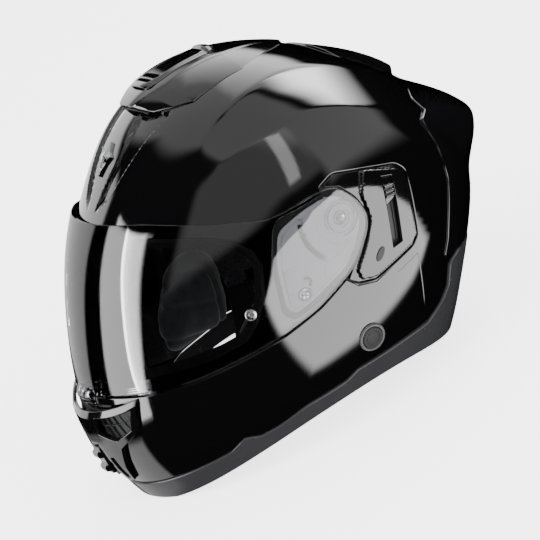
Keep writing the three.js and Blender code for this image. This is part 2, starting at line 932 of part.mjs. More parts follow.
function visor() {
  const outside = skin(visorProud);
  const inside = skin((theta, psi) => visorProud(theta, psi) - VISOR_WALL);
  let shield = outside.subtract(inside).intersect(sidePrism(visorOutline));
  for (const side of [-1, 1]) {
    const ring = VISOR_RING;
    shield = shield.add(tube(ring.outer, ring.inner, -0.9, 1.2, pivotFrame(side)));
    shield = shield.subtract(cylinder(4.3, -8, 8, lensPinFrame(side), 14));
  }
  const tab = plate(4, 4, (s, v) => {
    const theta = degrees(328.4 + 3.4 * s);
    const reach = 9 * Math.sin(Math.PI * (0.25 + 0.5 * s)) * (1 - v ** 4) + 5.5;
    return [theta, degrees(5 * v), reach, 4.7];
  });
  return shield.add(tab);
}

function lensPin() {
  const frame = lensPinFrame(1);
  return cylinder(4, -VISOR_WALL - 0.6, 0.5, frame, 14).add(cylinder(1.6, 0, 1, frame));
}

function sunVisor() {
  const arms = sidePrism(sector(SUN.low + 18, SUN.high + 1, 46));
  let lens = sunBarrel(0)
    .subtract(sunBarrel(SUN.wall))
    .intersect(sidePrism(sector(SUN.low, SUN.high, FAR)))
    .subtract(arms);
  for (const side of [-1, 1]) {
    lens = lens.add(cylinder(6, SUN.half - 4, SUN.half, sunFrame(side), 16));
    lens = lens.subtract(cylinder(2.9, 80, 110, sunFrame(side), 12));
  }
  return lens;
}

function sunVisorPivot() {
  const frame = sunFrame(1);
  return cylinder(2.5, SUN.half - 6, SUN.half + 3, frame, 12)
    .add(cylinder(7, SUN.half + 0.6, SUN.half + 11, frame, 12))
    .add(cylinder(4.5, SUN.half - 6.5, SUN.half - 4.6, frame, 12));
}

// ---- Chin strap and buckle ----------------------------------------------------------------------

const STRAP = { width: 22, thickness: 2 };
const BUCKLE = { x: 3, y: -14, z: -132, length: 38, width: 26, height: 9 };

// A flat band along a path in the X-Z plane, its width lying along Y.
function ribbon(path, width, thickness) {
  const points = [];
  const triangles = [];
  const stations = path.map(([x, y, z]) => new THREE.Vector3(x, y, z));
  const across = new THREE.Vector3(0, width / 2, 0);
  stations.forEach((centre, i) => {
    const before = stations[Math.max(0, i - 1)];
    const after = stations[Math.min(stations.length - 1, i + 1)];
    const along = after.clone().sub(before).normalize();
    const up = along.clone().cross(new THREE.Vector3(0, 1, 0)).setLength(thickness / 2);
    for (const [a, b] of [[-1, -1], [1, -1], [1, 1], [-1, 1]]) {
      points.push(centre.clone().addScaledVector(across, a).addScaledVector(up, b));
    }
  });
  const corner = (i, k) => 4 * i + (k % 4);
  for (let i = 0; i < stations.length - 1; i++) {
    for (let k = 0; k < 4; k++) {
      const [a, b] = [corner(i, k), corner(i, k + 1)];
      const [c, d] = [corner(i + 1, k + 1), corner(i + 1, k)];
      triangles.push(a, b, c, a, c, d);
    }
  }
  const last = stations.length - 1;
  triangles.push(corner(0, 0), corner(0, 2), corner(0, 1), corner(0, 0), corner(0, 3), corner(0, 2));
  triangles.push(corner(last, 0), corner(last, 1), corner(last, 2));
  triangles.push(corner(last, 0), corner(last, 2), corner(last, 3));
  return indexedSolid(points, triangles);
}

function strapPath(end) {
  const curve = new THREE.CatmullRomCurve3([
    new THREE.Vector3(99, 13, -84),
    new THREE.Vector3(88, 8, -100),
    new THREE.Vector3(66, -4, -121),
    new THREE.Vector3(52, -10, -129),
    new THREE.Vector3(end, BUCKLE.y, BUCKLE.z),
  ]);
  return curve.getPoints(10).map((p) => [p.x, p.y, p.z]);
}

function strapAnchor() {
  const frame = sideFrame(13, -82, 1, 0);
  const washer = frame.clone().multiply(new THREE.Matrix4().setPosition(0, 0, -6));
  return box(20, 16, 1.6, washer).add(cylinder(4, -5.6, -SHELL_WALL - 1.8, frame));
}

function centredBox(x, y, z, width, depth, height) {
  return box(width, depth, height, new THREE.Matrix4().setPosition(x, y, z));
}

function buckleBody() {
  const { x, y, z, length, width, height } = BUCKLE;
  return centredBox(x, y, z, length, width, height)
    .subtract(centredBox(x - 6, y, z - 1, length, 17, 3.4))
    .subtract(centredBox(x - 2, y, z + height / 2, length - 10, 15.6, 7));
}

function buckleTongue() {
  const { x, y, z, length } = BUCKLE;
  let tongue = centredBox(x - length / 2 - 3, y, z - 1.2, 40, 16, 2);
  for (let k = 0; k < 5; k++) {
    tongue = tongue.add(centredBox(x - 30 + 4.4 * k, y, z, 2, 12, 1));
  }
  return tongue;
}

function buckleLever() {
  const { x, y, z, height } = BUCKLE;
  return centredBox(x - 3, y, z + height / 2 + 0.2, 26, 14.6, 2.6);
}

// ---- The assembly -------------------------------------------------------------------------------

function finish(color, roughness, metalness = 0, opacity = 1) {
  const transparent = opacity < 1;
  return new THREE.MeshStandardMaterial({ color, roughness, metalness, opacity, transparent });
}

const glossBlack = finish(0x08080a, 0.06);
const satinGrey = finish(0x4a4b4e, 0.45);
const mattBlack = finish(0x151516, 0.6);
const smokedLens = finish(0x3a3d42, 0.04, 0, 0.45);
const rubber = finish(0x101010, 0.8);
const foam = finish(0x24262a, 0.9);
const cloth = finish(0x1d1e20, 0.95);
const webbing = finish(0x111112, 0.85);
const steel = finish(0xb8babd, 0.25, 1);
const chrome = finish(0xd8dadd, 0.08, 1);

const wearer = new THREE.Group();

function add(name, solid, material) {
  const mesh = new THREE.Mesh(geometryOf(solid), material);
  mesh.name = name;
  wearer.add(mesh);
  return mesh;
}

// The right-hand twin is the left-hand piece mirrored.
function addPair(name, solid, material) {
  add(`${name}_left`, solid, material);
  add(`${name}_right`, solid, material).scale.x = -1;
}

add("outer_shell", outerShell(), glossBlack);
add("impact_liner", impactLiner(), foam);
add("chin_liner", chinLiner(), foam);
addPair("cheek_block", cheekBlock(), foam);
add("comfort_liner", comfortLiner(), cloth);
addPair("cheek_pad", cheekPad(), cloth);
add("neck_roll", neckRoll(), cloth);
add("lower_trim", lowerTrim(), satinGrey);
add("eyeport_gasket", eyeportGasket(), rubber);
addPair("base_plate", basePlate(), satinGrey);
addPair("pivot_screw", screw(pivotFrame(1)), steel);
addPair("base_plate_screw", screw(sideFrame(LOWER_SCREW.y, LOWER_SCREW.z, 1, 0)), steel);
add("side_cover_left", sideCover().subtract(leverSlot()), glossBlack);
add("side_cover_right", sideCover(), glossBlack).scale.x = -1;
addPair("side_badge", sideBadge(), chrome);
add("forehead_badge", foreheadBadge(), chrome);
add("port_ring", lowerPortRing(), mattBlack);
add("port_cap", lowerPortCap(), mattBlack);
add("top_vent_housing", topVentHousing(), glossBlack);
add("crown_exhaust", crownExhaust(), glossBlack);
add("rear_spoiler", rearSpoiler(), glossBlack);
add("rear_grille_left", rearGrille(1), mattBlack);
add("rear_grille_right", rearGrille(-1), mattBlack);
add("chin_vent_housing", chinVentHousing(), glossBlack);
add("chin_grille_left", chinGrille(1), mattBlack);
add("chin_grille_right", chinGrille(-1), mattBlack);
add("breath_deflector", breathDeflector(), rubber);
add("chin_curtain", chinCurtain(), cloth);
addPair("strap_anchor", strapAnchor(), steel);
add("chin_strap_left", ribbon(strapPath(23), STRAP.width, STRAP.thickness), webbing);
add("chin_strap_right", ribbon(strapPath(39.5), STRAP.width, STRAP.thickness), webbing).scale.x = -1;
add("buckle_body", buckleBody(), mattBlack);
add("buckle_tongue", buckleTongue(), mattBlack);
addPair("sun_visor_pivot", sunVisorPivot(), mattBlack);

add("visor", visor(), smokedLens);
addPair("lens_pin", lensPin(), steel);
add("sun_visor", sunVisor(), smokedLens);
add("sun_visor_lever", leverKnob(), mattBlack);
add("top_vent_slider", topVentSlider(), glossBlack);
add("chin_vent_slider", chinVentSlider(), mattBlack);
add("buckle_lever", buckleLever(), mattBlack);

// Stand the helmet on its rim, with the origin under the middle of its bounding box.
const helmet = new THREE.Group();
wearer.rotation.x = -degrees(REST_SLOPE);
helmet.add(wearer);
const extent = new THREE.Box3().setFromObject(helmet, true);
const middle = extent.getCenter(new THREE.Vector3());
wearer.position.set(-middle.x, -middle.y, -extent.min.z);

export default helmet;
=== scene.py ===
"""The looks of a full-face motorcycle helmet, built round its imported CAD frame.

Every piece is worked out in the wearer's frame in millimetres: origin at the middle of the visor's
pivot axis, X to the wearer's left, -Y ahead, +Z up. to_row() takes it to the frame's own axes in
metres. The shell is one smooth form round the pivot axis, placed by two angles: theta turns round
the axis (0 ahead, 90 up, 180 behind, 270 down) and psi runs from the right pivot to the left one.
"""
import json
import math

import bmesh
import bpy
import numpy as np
from mathutils import Matrix, Vector


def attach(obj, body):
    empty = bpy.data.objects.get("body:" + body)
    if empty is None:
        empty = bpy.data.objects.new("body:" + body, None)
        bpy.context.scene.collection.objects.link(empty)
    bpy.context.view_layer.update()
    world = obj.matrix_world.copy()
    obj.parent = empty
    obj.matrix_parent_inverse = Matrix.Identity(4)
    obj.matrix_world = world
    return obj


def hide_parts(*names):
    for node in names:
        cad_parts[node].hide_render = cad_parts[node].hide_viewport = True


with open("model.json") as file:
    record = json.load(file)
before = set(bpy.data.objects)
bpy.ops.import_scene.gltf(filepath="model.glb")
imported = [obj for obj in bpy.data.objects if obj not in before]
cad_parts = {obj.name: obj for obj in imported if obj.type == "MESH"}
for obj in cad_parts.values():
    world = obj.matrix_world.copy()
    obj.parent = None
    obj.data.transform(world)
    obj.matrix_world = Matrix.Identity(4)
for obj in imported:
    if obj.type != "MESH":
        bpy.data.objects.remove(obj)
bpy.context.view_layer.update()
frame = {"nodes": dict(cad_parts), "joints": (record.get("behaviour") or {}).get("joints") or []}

JOINTS = {joint["name"]: joint for joint in frame["joints"]}
PIVOT = np.array(JOINTS["visor_pivot"]["pos_m"])
MILLIMETRE = 0.001

# ---- Driving dimensions, the same as the CAD's ---------------------------------------------------

# The form: its half width, and radius and fullness of its cross-section every STATION_STEP degrees.
HALF_WIDTH = 119
STATION_STEP = 20
RADII = np.array(
    [134, 119, 115, 110, 106, 105, 107, 114, 128, 150, 146, 150, 174, 190, 209, 226, 197, 155]
)
FULLNESS = np.array(
    [0.92, 0.93, 0.96, 1.02, 1.1, 1.16, 1.18, 1.2, 1.2, 1.2, 1.2, 1.2, 1.2, 1.15, 1.05, 0.96, 0.92, 0.92]
)

# The rim: the slope of the surface that the helmet rests on, where the chin meets it, and the arch.
REST_SLOPE = math.radians(12.5)
CHIN_BOTTOM = (-140, -172)
RIM_ARCH, RIM_ARCH_MIDDLE, RIM_ARCH_HALF = 22, -14, 112

SHELL_WALL = 3.2
POCKET_DEPTH = 4
VISOR_WALL = 2.2
VISOR_PROUD_SIDE, VISOR_PROUD_FRONT = 2.8, 5

# FAR lies beyond the helmet on any side, for outlines that run off it.
FAR = 260
HALF_PI = math.pi / 2
SIDES = ("left", "right")

# ---- Outlines in the side view, as [y, z] --------------------------------------------------------


def spline(points, count):
    """A smooth open line of count points through the given ones (Catmull-Rom)."""
    p = np.array(points, float)
    ends = np.vstack([2 * p[0] - p[1], p, 2 * p[-1] - p[-2]])
    t = np.linspace(0, len(p) - 1 - 1e-9, count)
    k = t.astype(int)
    f = (t - k)[:, None]
    a, b, c, d = ends[k], ends[k + 1], ends[k + 2], ends[k + 3]
    cubic = (3 * b - a - 3 * c + d) * f**3 + (2 * a - 5 * b + 4 * c - d) * f**2
    return (cubic + (c - a) * f + 2 * b) / 2


def rounded(outline, radius, steps=5):
    """A closed outline with its corners rounded, each by at most a third of its shorter side."""
    p = np.array(outline, float)
    out = []
    for before, here, after in zip(np.roll(p, 1, 0), p, np.roll(p, -1, 0)):
        a, b = before - here, after - here
        reach = min(radius, np.linalg.norm(a) / 3, np.linalg.norm(b) / 3)
        start = here + a / np.linalg.norm(a) * reach
        end = here + b / np.linalg.norm(b) * reach
        for t in np.linspace(0, 1, steps):
            out.append((1 - t) ** 2 * start + 2 * t * (1 - t) * here + t * t * end)
    return np.array(out)


TRIM_SEAM = [
    (-FAR, -166), (-150, -160), (-132, -151.5), (-114, -143.5), (-95, -135), (-87, -127),
    (-77, -128.5), (-65, -125), (-46, -116.5), (-16, -109), (-7, -104), (20, -100),
    (54, -94.5), (71, -85), (80, -77), (84, -62), (96, -58), (FAR, -56),
]
VISOR_TOP = [(-FAR, 24), (-107, 23), (-76, 17), (-47, 13.3), (-37, 14.8)]
POD_ARC = spline(
    [
        (-26, 17.6), (-8, 21.2), (4, 18.2), (14, 7), (17.8, -7),
        (11, -21.5), (0, -34.5), (-26.4, -51.2), (-52.8, -62.6),
    ],
    48,
)
VISOR_BOTTOM = [(-78, -70.4), (-110, -79.6), (-135, -85), (-151, -86.8), (-FAR, -89)]
VISOR_OUTLINE = np.vstack([VISOR_TOP, POD_ARC, VISOR_BOTTOM])
EYEPORT_OUTLINE = np.array(
    [
        (-FAR, 15), (-128, 15), (-107, 14), (-80, 9), (-68, 4), (-60, -4), (-57, -15), (-60, -34),
        (-67, -50), (-76, -61), (-90, -66), (-110, -71), (-135, -76), (-FAR, -79),
    ],
    float,
)
LOWER_PANEL = [
    (-FAR, -90.5), (-151, -88.2), (-135, -86.4), (-110, -81), (-78, -71.8), (-52.8, -64),
    (-27, -53), (-6, -40.5), (2, -47.4), (16, -49.6), (50.5, -37.4), (60, -32), (60, -FAR), (-FAR, -FAR),
]
COVER_RIM = [
    (-7, 22.9), (2.5, 28.6), (50, 19.5), (56.5, 14), (55.5, -30.5),
    (50, -36.3), (16.4, -47.9), (3.5, -46), (-3, -42),
]
COVER_INNER = spline([(1.2, -36), (12.2, -21.5), (19.2, -7), (15.2, 8), (5, 19.6)], 24)
COVER_OUTLINE = np.vstack([COVER_RIM, COVER_INNER])
COVER_RAISED = rounded(
    [
        (17.6, 10), (23, 25), (49, 17.6), (54.4, 12.6), (53.6, -29.6), (49.2, -34.6),
        (16.6, -46.2), (5, -44.6), (3.4, -37), (13.4, -21.5), (20.4, -7),
    ],
    3,
)
POCKET_OUTLINE = rounded(
    [
        (-45, 5), (-40, 11), (-25, 14), (-9, 18), (-9, 23.2), (2.2, 29.4), (50.5, 20.3), (57.3, 14.4),
        (56.3, -31), (50.6, -37.1), (16.5, -48.7), (2.8, -46.8), (-4, -42.2), (-27, -49), (-45, -56),
        (-52, -50), (-52, -20),
    ],
    4,
)
BASE_PLATE = rounded(
    [
        (-43, 3), (-25, 11.5), (-8, 16), (3, 14), (11, 5), (14.4, -6.5), (7.5, -20.5), (-2.5, -33),
        (-27, -46.5), (-43, -53), (-49, -47), (-49, -20),
    ],
    6,
)
FAIRING = [
    (93, 48), (240, 130), (240, -57), (77.4, -57), (83, -45.5),
    (93, -5.7), (92.6, 16.3), (88, 35), (95, 38),
]


def rest_plane(y):
    return CHIN_BOTTOM[1] + math.tan(REST_SLOPE) * (y - CHIN_BOTTOM[0])


def rim_height(y):
    """The lower edge of the whole helmet: flat on the surface at chin and nape, arched between."""
    t = np.minimum(1, np.abs((y - RIM_ARCH_MIDDLE) / RIM_ARCH_HALF))
    return rest_plane(y) + RIM_ARCH * (1 - t * t)


# ---- The form ------------------------------------------------------------------------------------


def smooth(low, high, value):
    """0 up to low, 1 from high on, and an eased step between them."""
    t = np.clip((value - low) / (high - low), 0, 1)
    return t * t * (3 - 2 * t)


def station(table, theta):
    """A periodic uniform cubic B-spline through a table of stations round the pivot axis."""
    place = np.degrees(theta) / STATION_STEP
    first = np.floor(place).astype(int)
    t = place - first

    def value(k):
        return table[(first + k) % len(table)]

    cubic = (1 - t) ** 3 * value(-1) + (3 * t**3 - 6 * t**2 + 4) * value(0)
    return (cubic + (-3 * t**3 + 3 * t**2 + 3 * t + 1) * value(1) + t**3 * value(2)) / 6


def form(theta, psi):
    """Points of the bare form, which every height is measured from."""
    s = np.sin(psi)
    full = station(FULLNESS, theta)
    rho = station(RADII, theta) * np.cos(psi)
    x = HALF_WIDTH * s * (full - (full - 1) * s * s)
    return np.stack([x, -rho * np.cos(theta), rho * np.sin(theta)], -1)


def unit(vectors):
    """The vectors at length one."""
    return vectors / np.maximum(np.linalg.norm(vectors, axis=-1, keepdims=True), 1e-9)


def form_normal(theta, psi):
    step = 1e-4
    inner = np.clip(psi, -HALF_PI + 1e-3, HALF_PI - 1e-3)
    across = form(theta, inner + step) - form(theta, inner - step)
    along = form(theta + step, inner) - form(theta - step, inner)
    return unit(np.cross(across, along))


def lift(theta, psi, height):
    """Points at a height over the form."""
    height = np.broadcast_to(np.asarray(height, float), np.shape(theta))
    return form(theta, psi) + form_normal(theta, psi) * height[..., None]


def side_angles(y, z, side=1):
    """theta and psi of the place that is seen at y, z from the side."""
    y, z = np.asarray(y, float), np.asarray(z, float)
    theta = np.arctan2(z, -y)
    psi = side * np.arccos(np.clip(np.hypot(y, z) / station(RADII, theta), 0, 1))
    return theta, psi


def in_degrees(theta, psi):
    return np.radians(theta), np.radians(psi)


def distance_in(outline, flat):
    """Signed distance from points of a plane to a closed outline, positive inside it."""
    p, points = np.asarray(outline, float), np.reshape(flat, (-1, 2))
    nearest = np.full(len(points), 1e18)
    within = np.zeros(len(points), bool)
    for a, b in zip(p, np.roll(p, -1, 0)):
        edge = b - a
        along = np.clip(((points - a) @ edge) / (edge @ edge), 0, 1)
        gap = points - a - along[:, None] * edge
        nearest = np.minimum(nearest, (gap**2).sum(1))
        crosses = (a[1] > points[:, 1]) != (b[1] > points[:, 1])
        rise = np.where(abs(edge[1]) < 1e-12, 1e-12, edge[1])
        within ^= crosses & (points[:, 0] < (points[:, 1] - a[1]) / rise * edge[0] + a[0])
    return (np.sqrt(nearest) * np.where(within, 1, -1)).reshape(np.shape(flat)[:-1])


def inside(outline, theta, psi):
    """Signed distance to an outline in the side view, positive inside it."""
    return distance_in(outline, form(theta, psi)[..., 1:])


def above(line, theta, psi):
    """Height over a line that runs from front to back in the side view."""
    seen = form(theta, psi)
    p = np.asarray(line, float)
    return seen[..., 2] - np.interp(seen[..., 1], p[:, 0], p[:, 1])


def visor_proud(_, psi):
    """How far the visor's outer face stands over the form: more ahead than at the pivots."""
    return VISOR_PROUD_SIDE + (VISOR_PROUD_FRONT - VISOR_PROUD_SIDE) * np.cos(psi) ** 2


def panel_proud(theta, psi):
    """The lower panel stands nearly as proud as the visor's edge, and sinks away towards the back."""
    return (visor_proud(theta, psi) - 0.8) * (1 - smooth(-30, 45, form(theta, psi)[..., 1]))


# ---- Meshes --------------------------------------------------------------------------------------


def turn_to_row(vectors):
    """Directions of the wearer's frame in the row frame, which lies level on the helmet's rim."""
    c, s = math.cos(REST_SLOPE), math.sin(REST_SLOPE)
    x, y, z = np.moveaxis(np.asarray(vectors, float), -1, 0)
    return np.stack([x, c * y + s * z, -s * y + c * z], -1)


def to_row(points):
    """Points of the wearer's frame, in the row frame in metres."""
    return turn_to_row(points) * MILLIMETRE + PIVOT


class Shape:
    """Points, faces and one normal for each face corner, in the wearer's frame."""

    def __init__(self):
        self.points, self.faces, self.normals = [], [], []

    def add_points(self, points):
        start = len(self.points)
        self.points.extend(np.asarray(points, float).reshape(-1, 3))
        return start

    def add_face(self, corners, normals=None):
        self.faces.append(list(corners))
        if normals is None:
            p = [self.points[k] for k in corners]
            flat = np.cross(p[1] - p[0], p[2] - p[0])
            if len(p) > 3:
                flat = flat + np.cross(p[2] - p[0], p[3] - p[0])
            normals = [flat / max(np.linalg.norm(flat), 1e-12)] * len(corners)
        self.normals.extend(normals)

    def join(self, other):
        start = self.add_points(other.points)
        self.faces.extend([[k + start for k in face] for face in other.faces])
        self.normals.extend(other.normals)
        return self

    def mirrored(self):
        """The right-hand twin."""
        twin = Shape()
        flip = np.array([-1, 1, 1])
        twin.add_points(np.array(self.points) * flip)
        at = 0
        for face in self.faces:
            corner_normals = [n * flip for n in self.normals[at : at + len(face)]]
            twin.faces.append(face[::-1])
            twin.normals.extend(corner_normals[::-1])
            at += len(face)
        return twin


def mesh_of(name, shape):
    """The Blender mesh of a shape, in the row frame."""
    mesh = bpy.data.meshes.new(name)
    mesh.from_pydata(to_row(np.array(shape.points)).tolist(), [], shape.faces)
    return mesh


def placed(name, data):
    """A new object for the data, linked to the scene."""
    thing = bpy.data.objects.new(name, data)
    bpy.context.scene.collection.objects.link(thing)
    return thing


def piece(name, shape, material, slot, body="helmet", replaces=()):
    """Makes the Blender object of a shape, on its body, with its material and the nodes it stands for."""
    mesh = mesh_of(name, shape)
    mesh.shade_smooth()
    normals = unit(turn_to_row(np.array(shape.normals)))
    mesh.normals_split_custom_set(normals.tolist())
    mesh.materials.append(material)
    thing = placed(name, mesh)
    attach(thing, body)
    if replaces:
        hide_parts(*replaces)
    return thing


def pairs(*rows):
    """Makes pieces on both sides, from rows of name, left-hand shape, material, slot, node and body.

    The node is the one that the piece stands for, or None. The body may be left out."""
    for side in SIDES:
        for name, shape, material, slot, node, *body in rows:
            turned = shape if side == "left" else shape.mirrored()
            stands_for = [f"{node}_{side}"] if node else ()
            piece(f"{name}_{side}", turned, material, slot, *body, replaces=stands_for)


def both_sides(half):
    """Steps that start at 0, mirrored to run from the one side to the other."""
    return np.concatenate([-half[:0:-1], half])


def clipped_grid(us, vs, field, wrap, poles):
    """Points (u, v) and faces of the part of a grid where the field is positive."""
    nu, nv = len(us), len(vs)
    uu, vv = np.meshgrid(us, vs, indexing="ij")
    f = field(uu, vv) if field else np.ones_like(uu)
    f = np.where(np.abs(f) < 1e-9, 1e-9, f)
    keep = f > 0
    places, faces, cuts = {}, [], []
    points = []

    def corner(i, j):
        key = (0 if poles and j in (0, nv - 1) else i % nu) * nv + j
        if key not in places:
            places[key] = len(points)
            points.append((us[i % nu], vs[j]))
        return places[key]

    def crossing(a, b):
        names = sorted(((a[0] % nu) * nv + a[1], (b[0] % nu) * nv + b[1]))
        key = tuple(names)
        if key not in places:
            places[key] = len(points)
            u_a = us[a[0] % nu] + (wrap if a[0] >= nu else 0)
            u_b = us[b[0] % nu] + (wrap if b[0] >= nu else 0)
            cuts.append((len(points), u_a, vs[a[1]], u_b, vs[b[1]]))
            points.append((u_a, vs[a[1]]))
        return places[key]

    for i in range(nu if wrap else nu - 1):
        for j in range(nv - 1):
            ring = [(i, j), (i, j + 1), (i + 1, j + 1), (i + 1, j)]
            held = [keep[a % nu, b] for a, b in ring]
            if not any(held):
                continue
            face = []
            for k in range(4):
                if held[k]:
                    face.append(corner(*ring[k]))
                if held[k] != held[(k + 1) % 4]:
                    face.append(crossing(ring[k], ring[(k + 1) % 4]))
            face = [p for k, p in enumerate(face) if p != face[k - 1]]
            if len(face) > 2:
                faces.append(face)
    points = np.array(points, float)
    if cuts:
        index = np.array([c[0] for c in cuts])
        a, b = np.array([c[1:3] for c in cuts]), np.array([c[3:5] for c in cuts])
        f_a, f_b = field(a[:, 0], a[:, 1]), field(b[:, 0], b[:, 1])
        for _ in range(12):
            middle = (a + b) / 2
            f_m = field(middle[:, 0], middle[:, 1])
            left = (f_m > 0) == (f_a > 0)
            a = np.where(left[:, None], middle, a)
            b = np.where(left[:, None], b, middle)
            f_a, f_b = np.where(left, f_m, f_a), np.where(left, f_b, f_m)
        points[index] = (a + b) / 2
    return points, faces


def panel(us, vs, height=0.0, field=None, chart=in_degrees, rim=0.7, wall=2.5, wrap=0, poles=False,
          rim_steps=3, step=0.15, inset=None):
    """A closed panel on the form, with rounded edges: the part of a grid where the field is positive.

    chart takes the grid's u and v to theta and psi; height is the outer face's distance from the form;
    field(theta, psi) is a distance in millimetres, positive inside the panel."""
    inset = rim if inset is None else inset
    lift_of = height if callable(height) else lambda theta, psi: np.full(np.shape(theta), float(height))

    def surface(u, v):
        theta, psi = chart(u, v)
        return lift(theta, psi, lift_of(theta, psi))

    cut = (lambda u, v: field(*chart(u, v)) - inset) if field else None
    spots, faces = clipped_grid(us, vs, cut, wrap, poles)
    u, v = spots[:, 0], spots[:, 1]
    top = surface(u, v)
    inner_v = np.clip(v, min(vs) + 2 * step, max(vs) - 2 * step) if poles else v
    across = surface(u, inner_v + step) - surface(u, inner_v - step)
    along = surface(u + step, inner_v) - surface(u - step, inner_v)
    normal = unit(np.cross(across, along))
    outward = form_normal(*chart(u, inner_v))
    normal *= np.sign((normal * outward).sum(-1, keepdims=True))
    return thickened(top, normal, turned_out(faces, top, normal), rim, wall, rim_steps)


def region_panel(region, thetas, psis, height, **edges):
    """A panel inside an outline of [y, z], on a grid of theta and psi."""
    return panel(thetas, psis, height, lambda theta, psi: inside(region, theta, psi), **edges)


def side_panel(outline, ys, zs, height, **edges):
    """A panel drawn in the side view, inside an outline of [y, z], on a grid of y and z."""
    return panel(ys, zs, height, lambda theta, psi: inside(outline, theta, psi), side_angles, **edges)


def turned_out(faces, points, normal):
    """The faces of a sheet, turned round if they look against its normals."""
    sample = faces[len(faces) // 2]
    p = points[sample[:3]]
    if np.dot(np.cross(p[1] - p[0], p[2] - p[0]), normal[sample[0]]) < 0:
        return [face[::-1] for face in faces]
    return faces


def open_edges(faces):
    """The edges that only one face has, each in that face's direction."""
    directed = {(face[k - 1], face[k]) for face in faces for k in range(len(face))}
    return sorted((a, b) for a, b in directed if (b, a) not in directed)


def thickened(top, normal, faces, rim, wall, rim_steps=3):
    """A closed shape from one sheet: its edge is rolled over by rim, and its back is wall behind."""
    shape = Shape()
    shape.add_points(top)
    for face in faces:
        shape.add_face(face, [normal[k] for k in face])
    border = open_edges(faces)
    out = {}
    for a, b in border:
        way = np.cross(top[b] - top[a], normal[a] + normal[b])
        way = way / max(np.linalg.norm(way), 1e-12)
        for k in (a, b):
            out.setdefault(k, []).append(way)
    away = {k: unit(np.sum(ways, 0)) for k, ways in out.items()}
    rows = [({k: k for k in away}, {k: normal[k] for k in away})]
    for s in range(1, rim_steps + 1):
        angle = HALF_PI * s / rim_steps
        places, facing = {}, {}
        for k, way in away.items():
            spot = top[k] + rim * math.sin(angle) * way - rim * (1 - math.cos(angle)) * normal[k]
            places[k] = shape.add_points(spot)
            facing[k] = normal[k] * math.cos(angle) + way * math.sin(angle)
        rows.append((places, facing))
    foot = {k: shape.add_points(top[k] + rim * way - wall * normal[k]) for k, way in away.items()}
    rows.append((foot, away))
    for (near, near_facing), (far, far_facing) in zip(rows, rows[1:]):
        for a, b in border:
            corner_normals = [near_facing[b], near_facing[a], far_facing[a], far_facing[b]]
            shape.add_face([near[b], near[a], far[a], far[b]], corner_normals)
    back = shape.add_points(top - normal * wall)
    for face in faces:
        shape.add_face([back + k for k in face[::-1]], [-normal[k] for k in face[::-1]])
    for a, b in border:
        corner_normals = [-normal[b], -normal[a], -normal[a], -normal[b]]
        shape.add_face([foot[b], foot[a], back + a, back + b], corner_normals)
    return shape


def slab(top, bottom, faces):
    """A closed shape between two sheets of points that share their faces."""
    shape = Shape()
    shape.add_points(top)
    back = shape.add_points(bottom)
    for face in faces:
        shape.add_face(face)
        shape.add_face([back + k for k in face[::-1]])
    for a, b in open_edges(faces):
        shape.add_face([b, a, back + a, back + b])
    return shape


def grid_faces(rows, columns):
    """The quads of a grid of points that are numbered row by row."""
    corners = ((0, 0), (0, 1), (1, 1), (1, 0))
    places = [(i, j) for i in range(rows - 1) for j in range(columns - 1)]
    return [[(i + a) * columns + j + b for a, b in corners] for i, j in places]


def lofted(rings):
    """A closed bar through rings of points that all have the same count."""
    shape = Shape()
    rows = [shape.add_points(ring) for ring in rings]
    count = len(rings[0])
    for near, far in zip(rows, rows[1:]):
        for k in range(count):
            m = (k + 1) % count
            shape.add_face([near + k, near + m, far + m, far + k])
    shape.add_face([rows[0] + k for k in reversed(range(count))])
    shape.add_face([rows[-1] + k for k in range(count)])
    return shape


CRISP_ANGLE = math.radians(35)


def lathe(profile, origin, out, segments=48, up=(0, 0, 1)):
    """A turned shape about the axis out through origin.

    profile is [radius, height] from its middle to its edge and round underneath to the middle again.
    Corners sharper than CRISP_ANGLE stay crisp."""
    out = unit(np.array(out, float))
    across = unit(np.cross(np.array(up, float), out))
    upward = np.cross(out, across)
    profile = np.array(profile, float)
    shape = Shape()
    rings = []
    turns = np.linspace(0, 2 * math.pi, segments, endpoint=False)
    radial = np.cos(turns)[:, None] * across + np.sin(turns)[:, None] * upward
    for radius, height in profile:
        if radius < 1e-6:
            rings.append([shape.add_points(origin + out * height)] * segments)
        else:
            start = shape.add_points(origin + out * height + radial * radius)
            rings.append(list(range(start, start + segments)))
    steps = np.diff(profile, axis=0)
    slopes = unit(np.stack([-steps[:, 1], steps[:, 0]], -1))
    slopes = np.stack([-slopes[:, 0], slopes[:, 1]], -1)
    for i, slope in enumerate(slopes):
        ends = []
        for other in (slopes[i - 1] if i else slope, slopes[i + 1] if i + 1 < len(slopes) else slope):
            soft = np.dot(slope, other) > math.cos(CRISP_ANGLE)
            ends.append(unit(slope + other) if soft else slope)
        for k in range(segments):
            m = (k + 1) % segments
            near, far = rings[i], rings[i + 1]
            corners = [(near[k], k, 0), (far[k], k, 1), (far[m], m, 1), (near[m], m, 0)]
            corners = [c for n, c in enumerate(corners) if c[0] != corners[n - 1][0]]
            facing = [radial[turn] * ends[end][0] + out * ends[end][1] for _, turn, end in corners]
            shape.add_face([c[0] for c in corners], facing)
    return shape


def side_place(y, z, height, side=1):
    """A point over the side of the form and the outward direction there."""
    theta, psi = side_angles(np.array([y]), np.array([z]), side)
    return lift(theta, psi, np.full(1, float(height)))[0], form_normal(theta, psi)[0]


